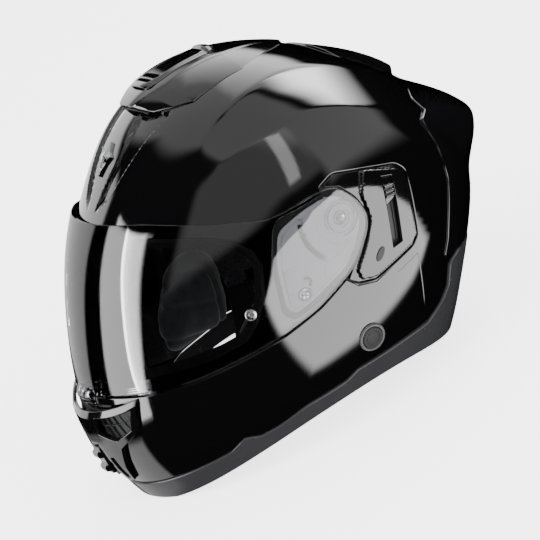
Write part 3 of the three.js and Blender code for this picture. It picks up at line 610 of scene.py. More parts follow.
def ribbon_bar(path, width, depth, bevel=0.35):
    """A rib along a path of (point, up) pairs, with a chamfered top: a grille's bar or a rail."""
    points = np.array([p for p, _ in path])
    ups = unit(np.array([u for _, u in path]))
    along = np.gradient(points, axis=0)
    across = unit(np.cross(along, ups))
    half = width / 2
    side = [(-half, -depth), (-half, -bevel), (-half + bevel, 0)]
    outline = side + [(-a, b) for a, b in reversed(side)]
    places = zip(points, ups, across)
    return lofted([[point + way * a + up * b for a, b in outline] for point, up, way in places])


def oriented(shape):
    """The shape with its faces pointing out, by the sign of its volume."""
    p = np.array(shape.points)
    volume = 0.0
    for face in shape.faces:
        for k in range(1, len(face) - 1):
            volume += np.dot(p[face[0]], np.cross(p[face[k]], p[face[k + 1]]))
    if volume >= 0:
        return shape
    turned = Shape()
    turned.add_points(p)
    at = 0
    for face in shape.faces:
        turned.faces.append(face[::-1])
        turned.normals.extend([-n for n in shape.normals[at : at + len(face)]][::-1])
        at += len(face)
    return turned


def swept_bar(places, width, depth, bevel=0.35):
    """A rib over the form through places of (theta, psi, height), angles in degrees."""
    dense = spline(places, max(2, 3 * len(places)))
    theta, psi = np.radians(dense[:, 0]), np.radians(dense[:, 1])
    points = lift(theta, psi, dense[:, 2])
    return oriented(ribbon_bar(list(zip(points, form_normal(theta, psi))), width, depth, bevel))


# ---- Materials -----------------------------------------------------------------------------------


def shade(color, factor):
    return tuple(factor * c for c in color)


class Surface:
    """A node material on a Principled shader, with helpers for the patterns that it needs."""

    def __init__(self, name, color, roughness, **sockets):
        self.material = bpy.data.materials.new(name)
        self.material.use_nodes = True
        self.tree = self.material.node_tree
        self.shader = self.tree.nodes["Principled BSDF"]
        self.shader.inputs["Base Color"].default_value = (*color, 1)
        self.shader.inputs["Roughness"].default_value = roughness
        for socket, value in sockets.items():
            self.shader.inputs[socket.replace("_", " ")].default_value = value
        self.place = self.tree.nodes.new("ShaderNodeTexCoord").outputs["Object"]

    def node(self, kind, inputs=(), **settings):
        made = self.tree.nodes.new(kind)
        for key, value in settings.items():
            setattr(made, key, value)
        for key, value in dict(inputs).items():
            self.feed(made.inputs[key], value)
        return made

    def feed(self, socket, value):
        if isinstance(value, bpy.types.NodeSocket):
            self.tree.links.new(value, socket)
        else:
            socket.default_value = value

    def noise(self, scale, detail=3.0):
        inputs = {"Vector": self.place, "Scale": scale, "Detail": detail}
        return self.node("ShaderNodeTexNoise", inputs).outputs["Fac"]

    def cells(self, scale, feature="F1"):
        made = self.node("ShaderNodeTexVoronoi", {"Vector": self.place, "Scale": scale}, feature=feature)
        return made.outputs["Distance"]

    def wave(self, scale, distortion, way):
        inputs = {"Vector": self.place, "Scale": scale, "Distortion": distortion, "Detail": 1.0}
        return self.node("ShaderNodeTexWave", inputs, bands_direction=way).outputs["Fac"]

    def math(self, operation, a, b=0.0):
        made = self.node("ShaderNodeMath", operation=operation)
        self.feed(made.inputs[0], a)
        self.feed(made.inputs[1], b)
        return made.outputs[0]

    def ramp(self, value, low, high, out_low, out_high):
        inputs = {"Value": value, "From Min": low, "From Max": high, "To Min": out_low, "To Max": out_high}
        return self.node("ShaderNodeMapRange", inputs).outputs["Result"]

    def tint(self, value, dark, light):
        made = self.node("ShaderNodeMix", data_type="RGBA")
        self.feed(made.inputs["Factor"], value)
        self.feed(made.inputs["A"], (*dark, 1))
        self.feed(made.inputs["B"], (*light, 1))
        self.tree.links.new(made.outputs["Result"], self.shader.inputs["Base Color"])

    def rough(self, value, low, high):
        self.feed(self.shader.inputs["Roughness"], self.ramp(value, 0.3, 0.7, low, high))

    def bump(self, height, depth, strength=1.0):
        made = self.node("ShaderNodeBump", {"Height": height, "Distance": depth, "Strength": strength})
        self.tree.links.new(made.outputs["Normal"], self.shader.inputs["Normal"])
        if "Coat Normal" in self.shader.inputs:
            self.tree.links.new(made.outputs["Normal"], self.shader.inputs["Coat Normal"])


def lacquer(name, color, haze):
    """Clear-coated black: a mirror with a trace of orange peel and of polishing haze."""
    s = Surface(name, color, 0.06, Coat_Weight=1.0, Coat_Roughness=0.02, Coat_IOR=1.6)
    s.rough(s.noise(38, 4), haze, haze + 0.05)
    s.tint(s.noise(9, 2), color, shade(color, 1.5))
    s.bump(s.noise(260, 2), 0.00002, 0.25)
    return s.material


def moulded(name, color, roughness, grain=900, depth=0.00005, **sockets):
    """Injection-moulded plastic: a fine etched grain, and slightly uneven gloss."""
    s = Surface(name, color, roughness, **sockets)
    s.rough(s.noise(60, 4), roughness - 0.06, roughness + 0.08)
    s.tint(s.noise(25, 3), shade(color, 0.85), shade(color, 1.2))
    s.bump(s.cells(grain), depth, 0.6)
    return s.material


def polycarbonate(name, clear, mirror):
    """A smoked lens: it darkens what is behind it and mirrors what is in front, more at the rim."""
    s = Surface(name, mirror, 0.03, Metallic=1.0)
    s.rough(s.noise(30, 3), 0.015, 0.035)
    through = s.node("ShaderNodeBsdfTransparent", {"Color": (*clear, 1)})
    glance = s.node("ShaderNodeFresnel", {"IOR": 1.58})
    share = s.ramp(glance.outputs[0], 0.0, 1.0, 0.015, 1.0)
    mix = s.node("ShaderNodeMixShader", {0: share, 1: through.outputs[0], 2: s.shader.outputs[0]})
    s.tree.links.new(mix.outputs[0], s.tree.nodes["Material Output"].inputs["Surface"])
    return s.material


def steel(name, color, roughness):
    """Bare or plated metal with a fine brushed unevenness."""
    s = Surface(name, color, roughness, Metallic=1.0)
    s.rough(s.noise(400, 4), roughness - 0.05, roughness + 0.12)
    s.bump(s.noise(1500, 3), 0.00002, 0.4)
    return s.material


def knitted(name, color, scale=1100):
    """Brushed knit: soft loops a millimetre apart, with a sheen."""
    s = Surface(name, color, 0.95, Sheen_Weight=0.6, Sheen_Roughness=0.4)
    loops = s.cells(scale)
    nap = s.noise(90, 5)
    s.tint(s.math("MULTIPLY", s.ramp(loops, 0, 0.6, 0.5, 1.0), nap), shade(color, 0.4), shade(color, 2.4))
    s.bump(s.math("ADD", loops, s.math("MULTIPLY", nap, 0.6)), 0.0003, 0.7)
    return s.material


def leatherette(name, color):
    """Coated cloth with a fine pebbled grain."""
    s = Surface(name, color, 0.5, Sheen_Weight=0.1)
    grain = s.cells(700, "SMOOTH_F1")
    s.rough(s.noise(120, 4), 0.4, 0.6)
    s.tint(grain, shade(color, 0.6), shade(color, 1.7))
    s.bump(grain, 0.0002, 0.6)
    return s.material


def woven(name, color):
    """Flat webbing: ribs across it and a twill along it."""
    s = Surface(name, color, 0.8, Sheen_Weight=0.3)
    ribs = s.wave(210, 0.6, "X")
    twill = s.wave(300, 0.4, "DIAGONAL")
    weave = s.math("MULTIPLY", ribs, twill)
    s.tint(weave, shade(color, 0.5), shade(color, 2.2))
    s.bump(weave, 0.0003, 0.8)
    return s.material


def beads(name, color):
    """Moulded bead foam: rounded cells 3 mm across with dark joints."""
    s = Surface(name, color, 0.85)
    cell = s.cells(330, "DISTANCE_TO_EDGE")
    s.tint(s.ramp(cell, 0, 0.12, 0, 1), shade(color, 0.45), shade(color, 1.3))
    s.bump(s.ramp(cell, 0, 0.25, 0, 1), 0.0004, 0.6)
    return s.material


BLACK = lacquer("gloss_black_lacquer", (0.0022, 0.0022, 0.0025), 0.03)
COVER_BLACK = lacquer("gloss_black_moulding", (0.003, 0.003, 0.0034), 0.045)
SATIN = moulded("satin_charcoal", (0.04, 0.04, 0.043), 0.22, 1400, 0.00002)
MATT = moulded("matt_black_plastic", (0.012, 0.012, 0.013), 0.5, 1100)
GREY = moulded("satin_grey_plastic", (0.16, 0.16, 0.165), 0.36, 1300, 0.00003)
PLATE_GREY = moulded("pale_grey_plastic", (0.58, 0.58, 0.59), 0.4, 1300, 0.00003)
RED = moulded("satin_red_plastic", (0.42, 0.02, 0.02), 0.35, 1200, 0.00003)
RUBBER = moulded("soft_rubber", (0.012, 0.012, 0.012), 0.7, 1600, 0.00006)
CHROME = steel("bright_chrome", (0.8, 0.81, 0.83), 0.08)
STEEL = steel("zinc_plated_steel", (0.62, 0.62, 0.63), 0.27)
VISOR_LENS = polycarbonate("smoked_visor", (0.83, 0.83, 0.84), (0.94, 0.94, 0.95))
SUN_LENS = polycarbonate("dark_sun_lens", (0.35, 0.35, 0.36), (0.9, 0.9, 0.92))
LINING = knitted("lining_knit", (0.03, 0.031, 0.034))
VINYL = leatherette("neck_roll_leatherette", (0.014, 0.014, 0.015))
WEBBING = woven("strap_weave", (0.013, 0.013, 0.014))
FOAM = beads("bead_foam", (0.03, 0.031, 0.034))


# ---- The shell -----------------------------------------------------------------------------------

# Lines over the shell, as [theta, |psi|] in degrees: its two ridges, and the forehead channel's sides.
RIDGE_UPPER = [
    (20, 41), (41.5, 38.6), (60.5, 36.8), (79, 33.2), (98, 30), (115, 28.5), (132, 26.7),
    (150, 22), (165, 17.4), (185, 12),
]
RIDGE_LOWER = [
    (10, 38), (26, 45.4), (48.5, 49), (72, 51.5), (97, 50.4), (126, 47.9), (149.5, 40.4),
    (175, 22), (190, 16),
]
CHANNEL_OUTER = [(13, 3.5), (15.5, 5.9), (20, 9.9), (30.5, 14.2), (42.5, 17.4), (50, 19)]
CHANNEL_INNER = [(13, 2.5), (21, 4.5), (33, 7.7), (47, 5.9), (50, 5.5)]
MM_PER_DEGREE = 2.05
SHELL_EDGE = {"rim": 0.8, "step": 0.12}
FAIRING_EDGE = {"rim": 0.7, "step": 0.12}
SPOILER_RISE = 21.6


def across(line, theta, psi):
    """Distance in millimetres beyond a line of (theta, psi) on either side of the middle."""
    p = np.array(line, float)
    smooth_line = spline(p, 8 * len(p))
    there = np.interp(np.degrees(theta) % 360, smooth_line[:, 0], smooth_line[:, 1])
    return (np.degrees(np.abs(psi)) - there) * MM_PER_DEGREE


def crease(line, theta, psi, height, spread, first, last):
    """A soft ridge along a line, fading in and out at its ends."""
    d = across(line, theta, psi)
    turn = np.degrees(theta) % 360
    fade = smooth(first, first + 22, turn) * (1 - smooth(last - 20, last, turn))
    return height * fade * np.exp(-(np.sqrt(d * d + 6) - 2.4) / spread)


def forehead_channel(theta, psi):
    """Depth of the two grooves that flank the badge, narrowing towards the visor."""
    turn = np.degrees(theta) % 360
    inner = across(CHANNEL_INNER, theta, psi)
    outer = across(CHANNEL_OUTER, theta, psi)
    along = smooth(13, 19, turn) * (1 - smooth(51, 54, turn))
    return 2.5 * along * smooth(-0.6, 1.4, inner) * (1 - smooth(-1.8, 0.6, outer))


def shell_height(theta, psi):
    upper = crease(RIDGE_UPPER, theta, psi, 2.3, 13, 32, 176)
    lower = crease(RIDGE_LOWER, theta, psi, 1.9, 12, 26, 182)
    return upper + lower - forehead_channel(theta, psi)


def main_shell():
    """The shell, with the eyeport and the pod pockets cut out, and lapped under its neighbours."""
    def field(theta, psi):
        f = -inside(EYEPORT_OUTLINE, theta, psi)
        f = np.minimum(f, -inside(POCKET_OUTLINE, theta, psi))
        f = np.minimum(f, above(TRIM_SEAM, theta, psi))
        f = np.minimum(f, 7 - inside(LOWER_PANEL, theta, psi))
        return np.minimum(f, 9 - inside(FAIRING, theta, psi))

    thetas = np.concatenate([np.arange(0, 56, 0.9), np.arange(56, 180, 1.25), np.arange(180, 360, 1.2)])
    psis = both_sides(np.concatenate([np.arange(0, 21, 0.6), np.arange(21, 86.4, 1.05)]))
    return panel(thetas, psis, shell_height, field, wall=SHELL_WALL, wrap=360, **SHELL_EDGE)


def lower_shell():
    """The panel under the visor, from cheek to cheek round the chin."""
    def height(theta, psi):
        return panel_proud(theta, psi) - 0.35 * smooth(14, 52, form(theta, psi)[..., 1])

    def field(theta, psi):
        f = np.minimum(inside(LOWER_PANEL, theta, psi), above(TRIM_SEAM, theta, psi))
        return np.minimum(f, 54 - form(theta, psi)[..., 1])

    thetas = np.arange(200, 346, 1.0)
    psis = np.arange(-86, 86.1, 1.1)
    return panel(thetas, psis, height, field, wall=SHELL_WALL, **SHELL_EDGE)


def fairing_height(theta, psi):
    """The rear fairing: it stands a little proud, and sweeps up into the spoiler's sharp tail."""
    turn = np.degrees(theta)
    width = 38 - 15 * smooth(150, 176, turn)
    over = (np.degrees(np.abs(psi)) - width) / 15
    blade = 1 - smooth(0, 1, over)
    rise = smooth(147, 180, turn) ** 1.6
    fall = 1 - smooth(172.6, 188, turn) ** 0.55
    seam = 1.5 - 0.7 * smooth(150, 158, turn)
    return seam + SPOILER_RISE * rise * fall * blade


def rear_fairing():
    def field(theta, psi):
        return np.minimum(inside(FAIRING, theta, psi), above(TRIM_SEAM, theta, psi))

    thetas = np.concatenate([np.arange(146, 168, 1.0), np.arange(168, 182, 0.5), np.arange(182, 222, 1.2)])
    psis = np.arange(-80, 80.1, 1.1)
    return panel(thetas, psis, fairing_height, field, wall=3.4, **FAIRING_EDGE)


def pocket_floor():
    """The sunk floor behind the left pod, which reaches a little way under the shell."""
    lap = 3

    def field(theta, psi):
        return np.minimum(inside(POCKET_OUTLINE, theta, psi) + lap, np.degrees(psi) - 50)

    return panel(np.arange(0, 360, 4.0), np.arange(50, 90.1, 1.6), -POCKET_DEPTH, field, wall=SHELL_WALL,
                 wrap=360, rim=0.2, step=0.2)


def make_shell():
    """The shell in its visible parts: main shell, lower shell, rear fairing and the pockets' floors."""
    piece("shell_main", main_shell(), BLACK, "gloss_shell", replaces=["outer_shell"])
    piece("shell_lower", lower_shell(), BLACK, "gloss_shell")
    piece("rear_fairing", rear_fairing(), COVER_BLACK, "gloss_cover", replaces=["rear_spoiler"])
    pairs(("pocket_dish", pocket_floor(), MATT, "matt_plastic", None))


# ---- The visor -----------------------------------------------------------------------------------


def visor_shield():
    """The visor with its pods in one sheet, from pole to pole."""
    psis = both_sides(np.concatenate([np.arange(0, 78, 1.3), np.arange(78, 90.01, 1.0)]))
    return region_panel(VISOR_OUTLINE, np.arange(0, 360, 1.5), psis, visor_proud, wall=VISOR_WALL,
                        wrap=360, poles=True, rim=0.9, step=0.2)


def visor_tab():
    """The lift tab under the visor's lower edge."""
    def height(theta, psi):
        s = (np.degrees(theta) - 328.4) / 3.4
        v = np.degrees(psi) / 5.4
        return 4.9 + 4.6 * np.sin(math.pi * np.clip(s, 0, 1)) ** 0.8 * np.clip(1 - v**4, 0, 1) ** 0.7

    thetas, psis = np.arange(327.8, 332.4, 0.25), np.arange(-5.4, 5.41, 0.4)
    return panel(thetas, psis, height, wall=1.8, rim=0.4, step=0.05)


def make_visor():
    piece("visor_shield", visor_shield(), VISOR_LENS, "smoked_lens", "visor", ["visor"])
    piece("visor_tab", visor_tab(), VISOR_LENS, "smoked_lens", "visor")


# ---- Edges and side hardware ---------------------------------------------------------------------


def lower_trim():
    """The satin band from the trim seam down to the rim that the helmet stands on."""
    def height(theta, psi):
        y = form(theta, psi)[..., 1]
        return panel_proud(theta, psi) + 0.8 + 0.5 * smooth(20, 70, y)

    def field(theta, psi):
        outer = lift(theta, psi, height(theta, psi))
        over_rim = outer[..., 2] - rim_height(outer[..., 1])
        return np.minimum(-above(TRIM_SEAM, theta, psi) - 0.5, over_rim - 0.1)

    return panel(np.arange(200, 345, 1.1), np.arange(-86, 86.1, 1.15), height, field, wall=5.2, rim=1.0,
                 step=0.15)


def eyeport_gasket():
    """A rubber bead with a lip, all the way round the eyeport."""
    width, lip_at, lip_width = 6, 2.2, 0.9

    def field(theta, psi):
        depth = inside(EYEPORT_OUTLINE, theta, psi)
        return np.minimum(depth - 0.1, width - depth)

    def height(theta, psi):
        depth = inside(EYEPORT_OUTLINE, theta, psi)
        return 0.3 - 0.5 * depth + 0.9 * np.exp(-((depth - lip_at) / lip_width) ** 2)

    thetas = np.arange(320, 384, 0.75)
    psis = np.arange(-70, 70.1, 0.75)
    return panel(thetas, psis, height, field, wall=3.6, rim=0.6, step=0.12)


LEVER_Y, LEVER_TOP = 38, 16
LEVER_SLOT = [
    (LEVER_Y - 3, LEVER_TOP), (LEVER_Y + 5.4, LEVER_TOP - 1.6),
    (LEVER_Y + 2.6, -29.8), (LEVER_Y - 5.6, -31.6),
]


def cover_height(theta, psi):
    """A low flange round the edge, a chamfer, and a flat raised plateau."""
    depth = inside(COVER_RAISED, theta, psi)
    return -0.5 + 2.8 * np.clip(depth / 1.5 + 0.35, 0, 1)


def side_cover(slot):
    """The cover behind a pod, with the sun visor's slot on the left side only."""
    def field(theta, psi):
        f = inside(COVER_OUTLINE, theta, psi)
        if slot:
            f = np.minimum(f, -inside(LEVER_SLOT, theta, psi))
        return f

    return panel(np.arange(-15, 62, 0.8), np.arange(-54, 34, 0.8), cover_height, field, side_angles,
                 wall=2.4, rim=0.45, step=0.1)


def lever_track():
    """The slot's floor, the spring cover at its lower end and the rail that the knob runs on."""
    y = LEVER_Y
    bed = rounded([(y - 3.8, 17), (y + 6.2, 15.2), (y + 3.4, -30.8), (y - 6.4, -32.6)], 1)
    rail = [(y + 2.9, 12), (y + 4.0, 11.8), (y + 1.6, -28), (y + 0.5, -28.4)]
    spring_cover = [(y - 3.4, -3.6), (y + 1.4, -1.6), (y + 0.4, -26), (y - 4.6, -28)]
    window = (np.arange(y - 6, y + 6, 0.45), np.arange(-30, 14, 0.9))
    track = side_panel(bed, np.arange(y - 8, y + 9, 0.9), np.arange(-34, 19, 1.0), -2.0, wall=1.2, rim=0.2)
    track.join(side_panel(rail, *window, -1.1, wall=1.2, rim=0.25))
    return track.join(side_panel(spring_cover, *window, -1.5, wall=0.8, rim=0.25))


def lever_knob():
    """A flat knob with three grip ridges across it."""
    y, top = LEVER_Y, LEVER_TOP
    knob = [(y - 2.2, top - 0.8), (y + 4.7, top - 2.2), (y + 3.6, top - 15.6), (y - 3.7, top - 18.8)]

    def height(theta, psi):
        z = form(theta, psi)[..., 2]
        ridges = sum(np.exp(-(((z - (top - at)) / 0.95) ** 4)) for at in (7.6, 10.6, 13.4))
        return 1.6 + 1.6 * ridges

    ys, zs = np.arange(y - 5, y + 6, 0.5), np.arange(top - 20, top + 0.6, 0.3)
    return side_panel(knob, ys, zs, height, wall=1.3, rim=0.35, step=0.05)


def side_badge():
    """A plain slanted oval."""
    centre = np.array([21.5, -32.0])
    turns = np.linspace(0, 2 * math.pi, 40, endpoint=False)
    long, short, lean = 5.2, 2.5, math.radians(52)
    oval = np.stack([long * np.cos(turns), short * np.sin(turns)], -1)
    turned = np.array([[math.cos(lean), math.sin(lean)], [-math.sin(lean), math.cos(lean)]])
    outline = oval @ turned + centre
    ys, zs = np.arange(15, 28, 0.4), np.arange(-38, -26, 0.4)
    return side_panel(outline, ys, zs, 2.9, wall=0.8, rim=0.4, step=0.05)


POLE = np.array([HALF_WIDTH, 0.0, 0.0])
GUIDE_RADIUS = 28
SCREW_HOLE = 4.8
LOWER_SCREW = (-35, -42)


def base_plate():
    """The visor's mechanism plate: a stepped sheet with a guide arc, a hook, a pad and screw holes."""
    hook = rounded([(-46, -24), (-40, -20), (-38, -34), (-42, -40), (-47, -38)], 3)
    pad = rounded([(-18, -26), (-4, -22), (2, -14), (9, -14), (4, -24), (-8, -34), (-20, -36)], 3)

    def height(theta, psi):
        seen = form(theta, psi)
        y, z = seen[..., 1], seen[..., 2]
        edge = inside(BASE_PLATE, theta, psi)
        arc = np.abs(np.hypot(y, z) - GUIDE_RADIUS)
        turn = np.degrees(np.arctan2(z, -y))
        in_arc = smooth(-58, -53, turn) * (1 - smooth(12, 17, turn))
        h = -1.5 - 0.6 * (1 - smooth(2.4, 3.0, edge))
        h = h - 1.5 * in_arc * (1 - smooth(1.7, 2.1, arc))
        for raised in (hook, pad):
            h = h + 0.8 * smooth(0, 0.6, inside(raised, theta, psi))
        return h + 0.45 * np.exp(-((np.hypot(y, z) - 17) / 0.5) ** 2)

    def field(theta, psi):
        y, z = np.moveaxis(form(theta, psi)[..., 1:], -1, 0)
        f = np.minimum(inside(BASE_PLATE, theta, psi), np.hypot(y, z) - SCREW_HOLE)
        return np.minimum(f, np.hypot(y - LOWER_SCREW[0], z - LOWER_SCREW[1]) - SCREW_HOLE)

    plate = panel(np.arange(-51, 16, 0.7), np.arange(-55, 18, 0.7), height, field, side_angles, wall=1.6,
                  rim=0.3, step=0.1)
    ring = [(6.3, -2.7), (6.3, -0.8), (6.6, -0.5), (9.0, -0.5), (9.3, -0.8), (9.3, -2.7), (6.3, -2.7)]
    return plate.join(lathe(ring, POLE, (1, 0, 0), 64))


def plate_slot_shade():
    """Dark strips laid in the mechanism's slots as painted shade: the guide arc, two round the pivot, and
    the hook's notch.
    """
    slots = Shape()

    def slot(y, z, height, width):
        theta, psi = side_angles(y, z)
        places = [np.degrees(np.unwrap(theta)), np.degrees(psi), np.full(len(psi), height)]
        slots.join(swept_bar(np.stack(places, -1), width, 0.8, 0.15))

    arcs = ((GUIDE_RADIUS, -52, 8, 2.6), (11.4, -75, -5, 2.0), (11.4, 105, 185, 2.0))
    for radius, low, high, width in arcs:
        turns = np.radians(np.linspace(low, high, 12))
        slot(-radius * np.cos(turns), radius * np.sin(turns), -1.75, width)
    slot([-34.0, -31, -29.5, -30.5], [-31.5, -31.5, -34, -37], -0.9, 1.8)
    return slots


def cross_screw(y, z):
    """A pan-head screw sunk 1 mm under the form, and the dark cross on its head: painted shade for its
    cross recess.
    """
    spot, out = side_place(y, z, -1) if y else (POLE - (1, 0, 0), np.array([1.0, 0, 0]))
    head = [(0, 1.15), (0.9, 1.13), (2.2, 0.95), (3.2, 0.6), (3.8, 0.1), (3.9, -0.3), (2.2, -0.35)]
    shank = [(2.2, -6.4), (0, -6.4)]
    return lathe(head + shank, spot, out, 40), recess_shade_cross(spot, out)


def recess_shade_cross(spot, out):
    """Two thin crossed dark bars on a screw's head: painted shade for its cross recess."""
    across_1 = unit(np.cross((0, 0.26, 1.0), out))
    across_2 = np.cross(out, across_1)
    cross = Shape()
    for way in (across_1, across_2):
        path = [(spot + out * 1.25 + way * t, out) for t in (-2.0, 0, 2.0)]
        cross.join(oriented(ribbon_bar(path, 1.0, 0.8, 0.12)))
    return cross


def lens_pin():
    """The anti-fog lens's pin, whose head lies on the visor."""
    at = (-71.0, -43.5)
    spot, out = side_place(*at, 0)
    spot = spot + out * float(visor_proud(*side_angles(*at)))
    head = [(0, 0.75), (1.3, 0.75), (1.7, 0.45), (1.75, 0.1), (2.6, 0.1), (3.5, 0.5), (3.95, 0.3)]
    return lathe(head + [(3.95, -2.8), (0, -2.8)], spot, out, 40)


PORT_AT = (6, -86)
PORT_OUTER, PORT_INNER = 10, 7.9


def port_turned(section):
    """A turned shape on the side port's own axis, measured from the lower panel's face."""
    spot, out = side_place(*PORT_AT, panel_proud(*side_angles(*PORT_AT)))
    return lathe(section, spot, out, 72)


def port_ring():
    outer, inner = PORT_OUTER, PORT_INNER
    face = [(inner, 1.1), (inner + 0.5, 1.6), (outer - 1.1, 1.7), (outer - 0.3, 1.1), (outer, 0.2)]
    return port_turned([(inner, -3.2)] + face + [(outer, -3.2), (inner, -3.2)])


def port_cap():
    """The cap in the ring: a flat middle, a groove and a raised rim."""
    face = [(0, 1.75), (4.3, 1.75), (4.6, 1.3), (5.1, 1.3), (5.4, 1.95), (6.9, 1.95), (7.5, 1.4)]
    return port_turned(face + [(7.5, -2.9), (0, -2.9)])


def pivot_ring():
    """The visor's own ring under each pod, which turns on the base plate's."""
    section = [(9.9, -0.8), (9.9, 0.7), (11.7, 0.7), (11.7, -0.8), (9.9, -0.8)]
    return lathe(section, POLE, (1, 0, 0), 72)


def make_side_hardware():
    piece("trim_band", lower_trim(), SATIN, "satin_trim", replaces=["lower_trim"])
    piece("eyeport_bead", eyeport_gasket(), RUBBER, "gasket_rubber", replaces=["eyeport_gasket"])
    piece("cover_left", side_cover(True), COVER_BLACK, "gloss_cover", replaces=["side_cover_left"])
    right_cover = side_cover(False).mirrored()
    piece("cover_right", right_cover, COVER_BLACK, "gloss_cover", replaces=["side_cover_right"])
    piece("lever_track", lever_track(), MATT, "matt_plastic")
    piece("lever_knob", lever_knob(), COVER_BLACK, "matt_plastic", "sun_visor_lever", ["sun_visor_lever"])
    # Each screw comes with a dark cross, painted shade for its recess.
    pivot_screw, pivot_cross_shade = cross_screw(0, 0)
    lower_screw, lower_cross_shade = cross_screw(*LOWER_SCREW)
    pairs(
        ("badge", side_badge(), MATT, "matt_plastic", "side_badge"),
        ("pivot_plate", base_plate(), PLATE_GREY, "grey_plastic", "base_plate"),
        # Dark strips in the plate's slots: painted shade.
        ("plate_slot_shade", plate_slot_shade(), MATT, "matt_plastic", None),
        ("pin", lens_pin(), STEEL, "grey_plastic", "lens_pin", "visor"),
        ("visor_ring", pivot_ring(), VISOR_LENS, "smoked_lens", None, "visor"),
        ("pivot_bolt", pivot_screw, CHROME, "screw_steel", "pivot_screw"),
        ("plate_bolt", lower_screw, CHROME, "screw_steel", "base_plate_screw"),
        # Dark crosses on the screws' heads: painted shade of their recesses.
        ("pivot_recess_shade", pivot_cross_shade, MATT, "matt_plastic", None),
        ("plate_recess_shade", lower_cross_shade, MATT, "matt_plastic", None),
    )
    piece("side_port_ring", port_ring(), GREY, "grey_plastic", replaces=["port_ring"])
    piece("side_port_cap", port_cap(), MATT, "matt_plastic", replaces=["port_cap"])


# ---- Crown and forehead --------------------------------------------------------------------------

VENT_FRONT, VENT_BACK = 48.5, 113
# Half widths as [theta, |psi|], in degrees.
VENT_HALF = np.array(
    [(48, 7.5), (50, 12), (55, 19), (60.5, 23.5), (70, 23.2), (84, 21.7), (95, 16), (104, 10.9), (113, 3)]
)
SLIDER_FRONT, SLIDER_BACK = 55.7, 84.8
SLIDER_HALF = np.array([(55.5, 4.6), (57, 6.4), (62, 7.4), (74, 6.9), (82, 6.0), (85, 4.2)])
CROWN_MM_PER_DEGREE = 1.9
REAR_MM_PER_DEGREE = 2.3


def turn_and_over(theta, psi):
    """theta, and the distance from the middle, both in degrees."""
    return np.degrees(theta), np.degrees(np.abs(psi))


def half_at(table, turn):
    """Half width in degrees, where theta is turn, from a table of [theta, half width]."""
    return np.interp(turn, table[:, 0], table[:, 1])


def vent_crest(turn):
    """Height of the crown vent along its middle."""
    return 7.2 - 5.4 * smooth(50, 108, turn)


def vent_height(theta, psi):
    """Three facets: a flat middle, and two sides that fall to the shell; the front lip stands open."""
    turn, over = turn_and_over(theta, psi)
    share = over / half_at(VENT_HALF, turn)
    shoulder = smooth(0.42, 0.5, share) * 0.4
    side = np.clip((share - 0.46) / 0.54, 0, 1)
    return vent_crest(turn) * (1 - 0.82 * side) + 0.35 - shoulder


def crown_vent():
    """The vent's body: round at its nose and pointed at its tail."""
    def field(theta, psi):
        turn, over = turn_and_over(theta, psi)
        side = (half_at(VENT_HALF, turn) - over) * MM_PER_DEGREE
        nose = (turn - VENT_FRONT - 0.012 * over**2) * CROWN_MM_PER_DEGREE
        tail = (VENT_BACK - turn) * CROWN_MM_PER_DEGREE
        return np.minimum(np.minimum(side, nose), tail)

    thetas, psis = np.arange(48, 113.6, 0.6), np.arange(-25, 25.1, 0.6)
    return panel(thetas, psis, vent_height, field, wall=1.5, rim=0.5, step=0.08)


def vent_gasket():
    """The dark joint along both sides of the vent."""
    joint = Shape()
    gap, height = 0.35, 0.25
    turns = np.arange(52, 112, 2.5)
    for side in (1, -1):
        places = [(turn, side * (half_at(VENT_HALF, turn) + gap), height) for turn in turns]
        joint.join(swept_bar(places, 1.7, 0.7, 0.25))
    return joint


def vent_mouth():
    """Dark ducts under the vent's lip, with upright vanes."""
    mouth = panel(np.arange(49.5, 58, 0.7), np.arange(-10, 10.1, 0.8), 0.9, None, wall=1.6, rim=0.3)
    for at in (-7.5, -4.5, -1.5, 1.5, 4.5, 7.5):
        mouth.join(swept_bar([(49.6, at, 4.6), (53, at, 4.8), (57, at, 5.0)], 0.7, 4.2, 0.2))
    return mouth


def vent_slider():
    """The long plate that slides on the crown vent, dished, with a raised grip at either end."""
    def height(theta, psi):
        turn, over = turn_and_over(theta, psi)
        share = over / half_at(SLIDER_HALF, turn)
        back_grip = 1.9 * smooth(80.6, 82.2, turn) * (1 - 0.4 * smooth(83, 85, turn))
        grip = back_grip + 0.9 * (1 - smooth(57.5, 60, turn))
        dish = -0.7 * smooth(60, 63, turn) * (1 - smooth(77, 80, turn)) * (1 - smooth(0.55, 0.75, share))
        rounding = 1.3 * (1 - smooth(0.6, 1.02, share))
        return vent_crest(turn) + 0.7 + rounding + grip * (1 - 0.5 * share**2) + dish

    def field(theta, psi):
        turn, over = turn_and_over(theta, psi)
        side = (half_at(SLIDER_HALF, turn) - over) * MM_PER_DEGREE
        ends = np.minimum(turn - SLIDER_FRONT, SLIDER_BACK - turn) * CROWN_MM_PER_DEGREE
        return np.minimum(side, ends)

    thetas, psis = np.arange(55, 85.6, 0.45), np.arange(-8, 8.1, 0.4)
    return panel(thetas, psis, height, field, wall=1.0, rim=0.35, step=0.06)


def exhaust_vent():
    """The raised outlet behind the crown: its hood opens backwards over a dark duct."""
    front, back = 121, 151

    def half(turn):
        return 18 - 0.1 * (turn - 122)

    def height(theta, psi):
        turn, over = turn_and_over(theta, psi)
        crest = 0.8 + 5.4 * smooth(120, 150, turn)
        return crest * (1 - 0.85 * smooth(0.62, 1.0, over / half(turn))) + 0.4

    def field(theta, psi):
        turn, over = turn_and_over(theta, psi)
        nose = turn - front - 0.02 * over**2
        return np.minimum(np.minimum(half(turn) - over, nose), back - turn) * REAR_MM_PER_DEGREE

    thetas, psis = np.arange(120, 152, 0.8), np.arange(-19, 19.1, 0.8)
    return panel(thetas, psis, height, field, wall=1.4, rim=0.5, step=0.1)


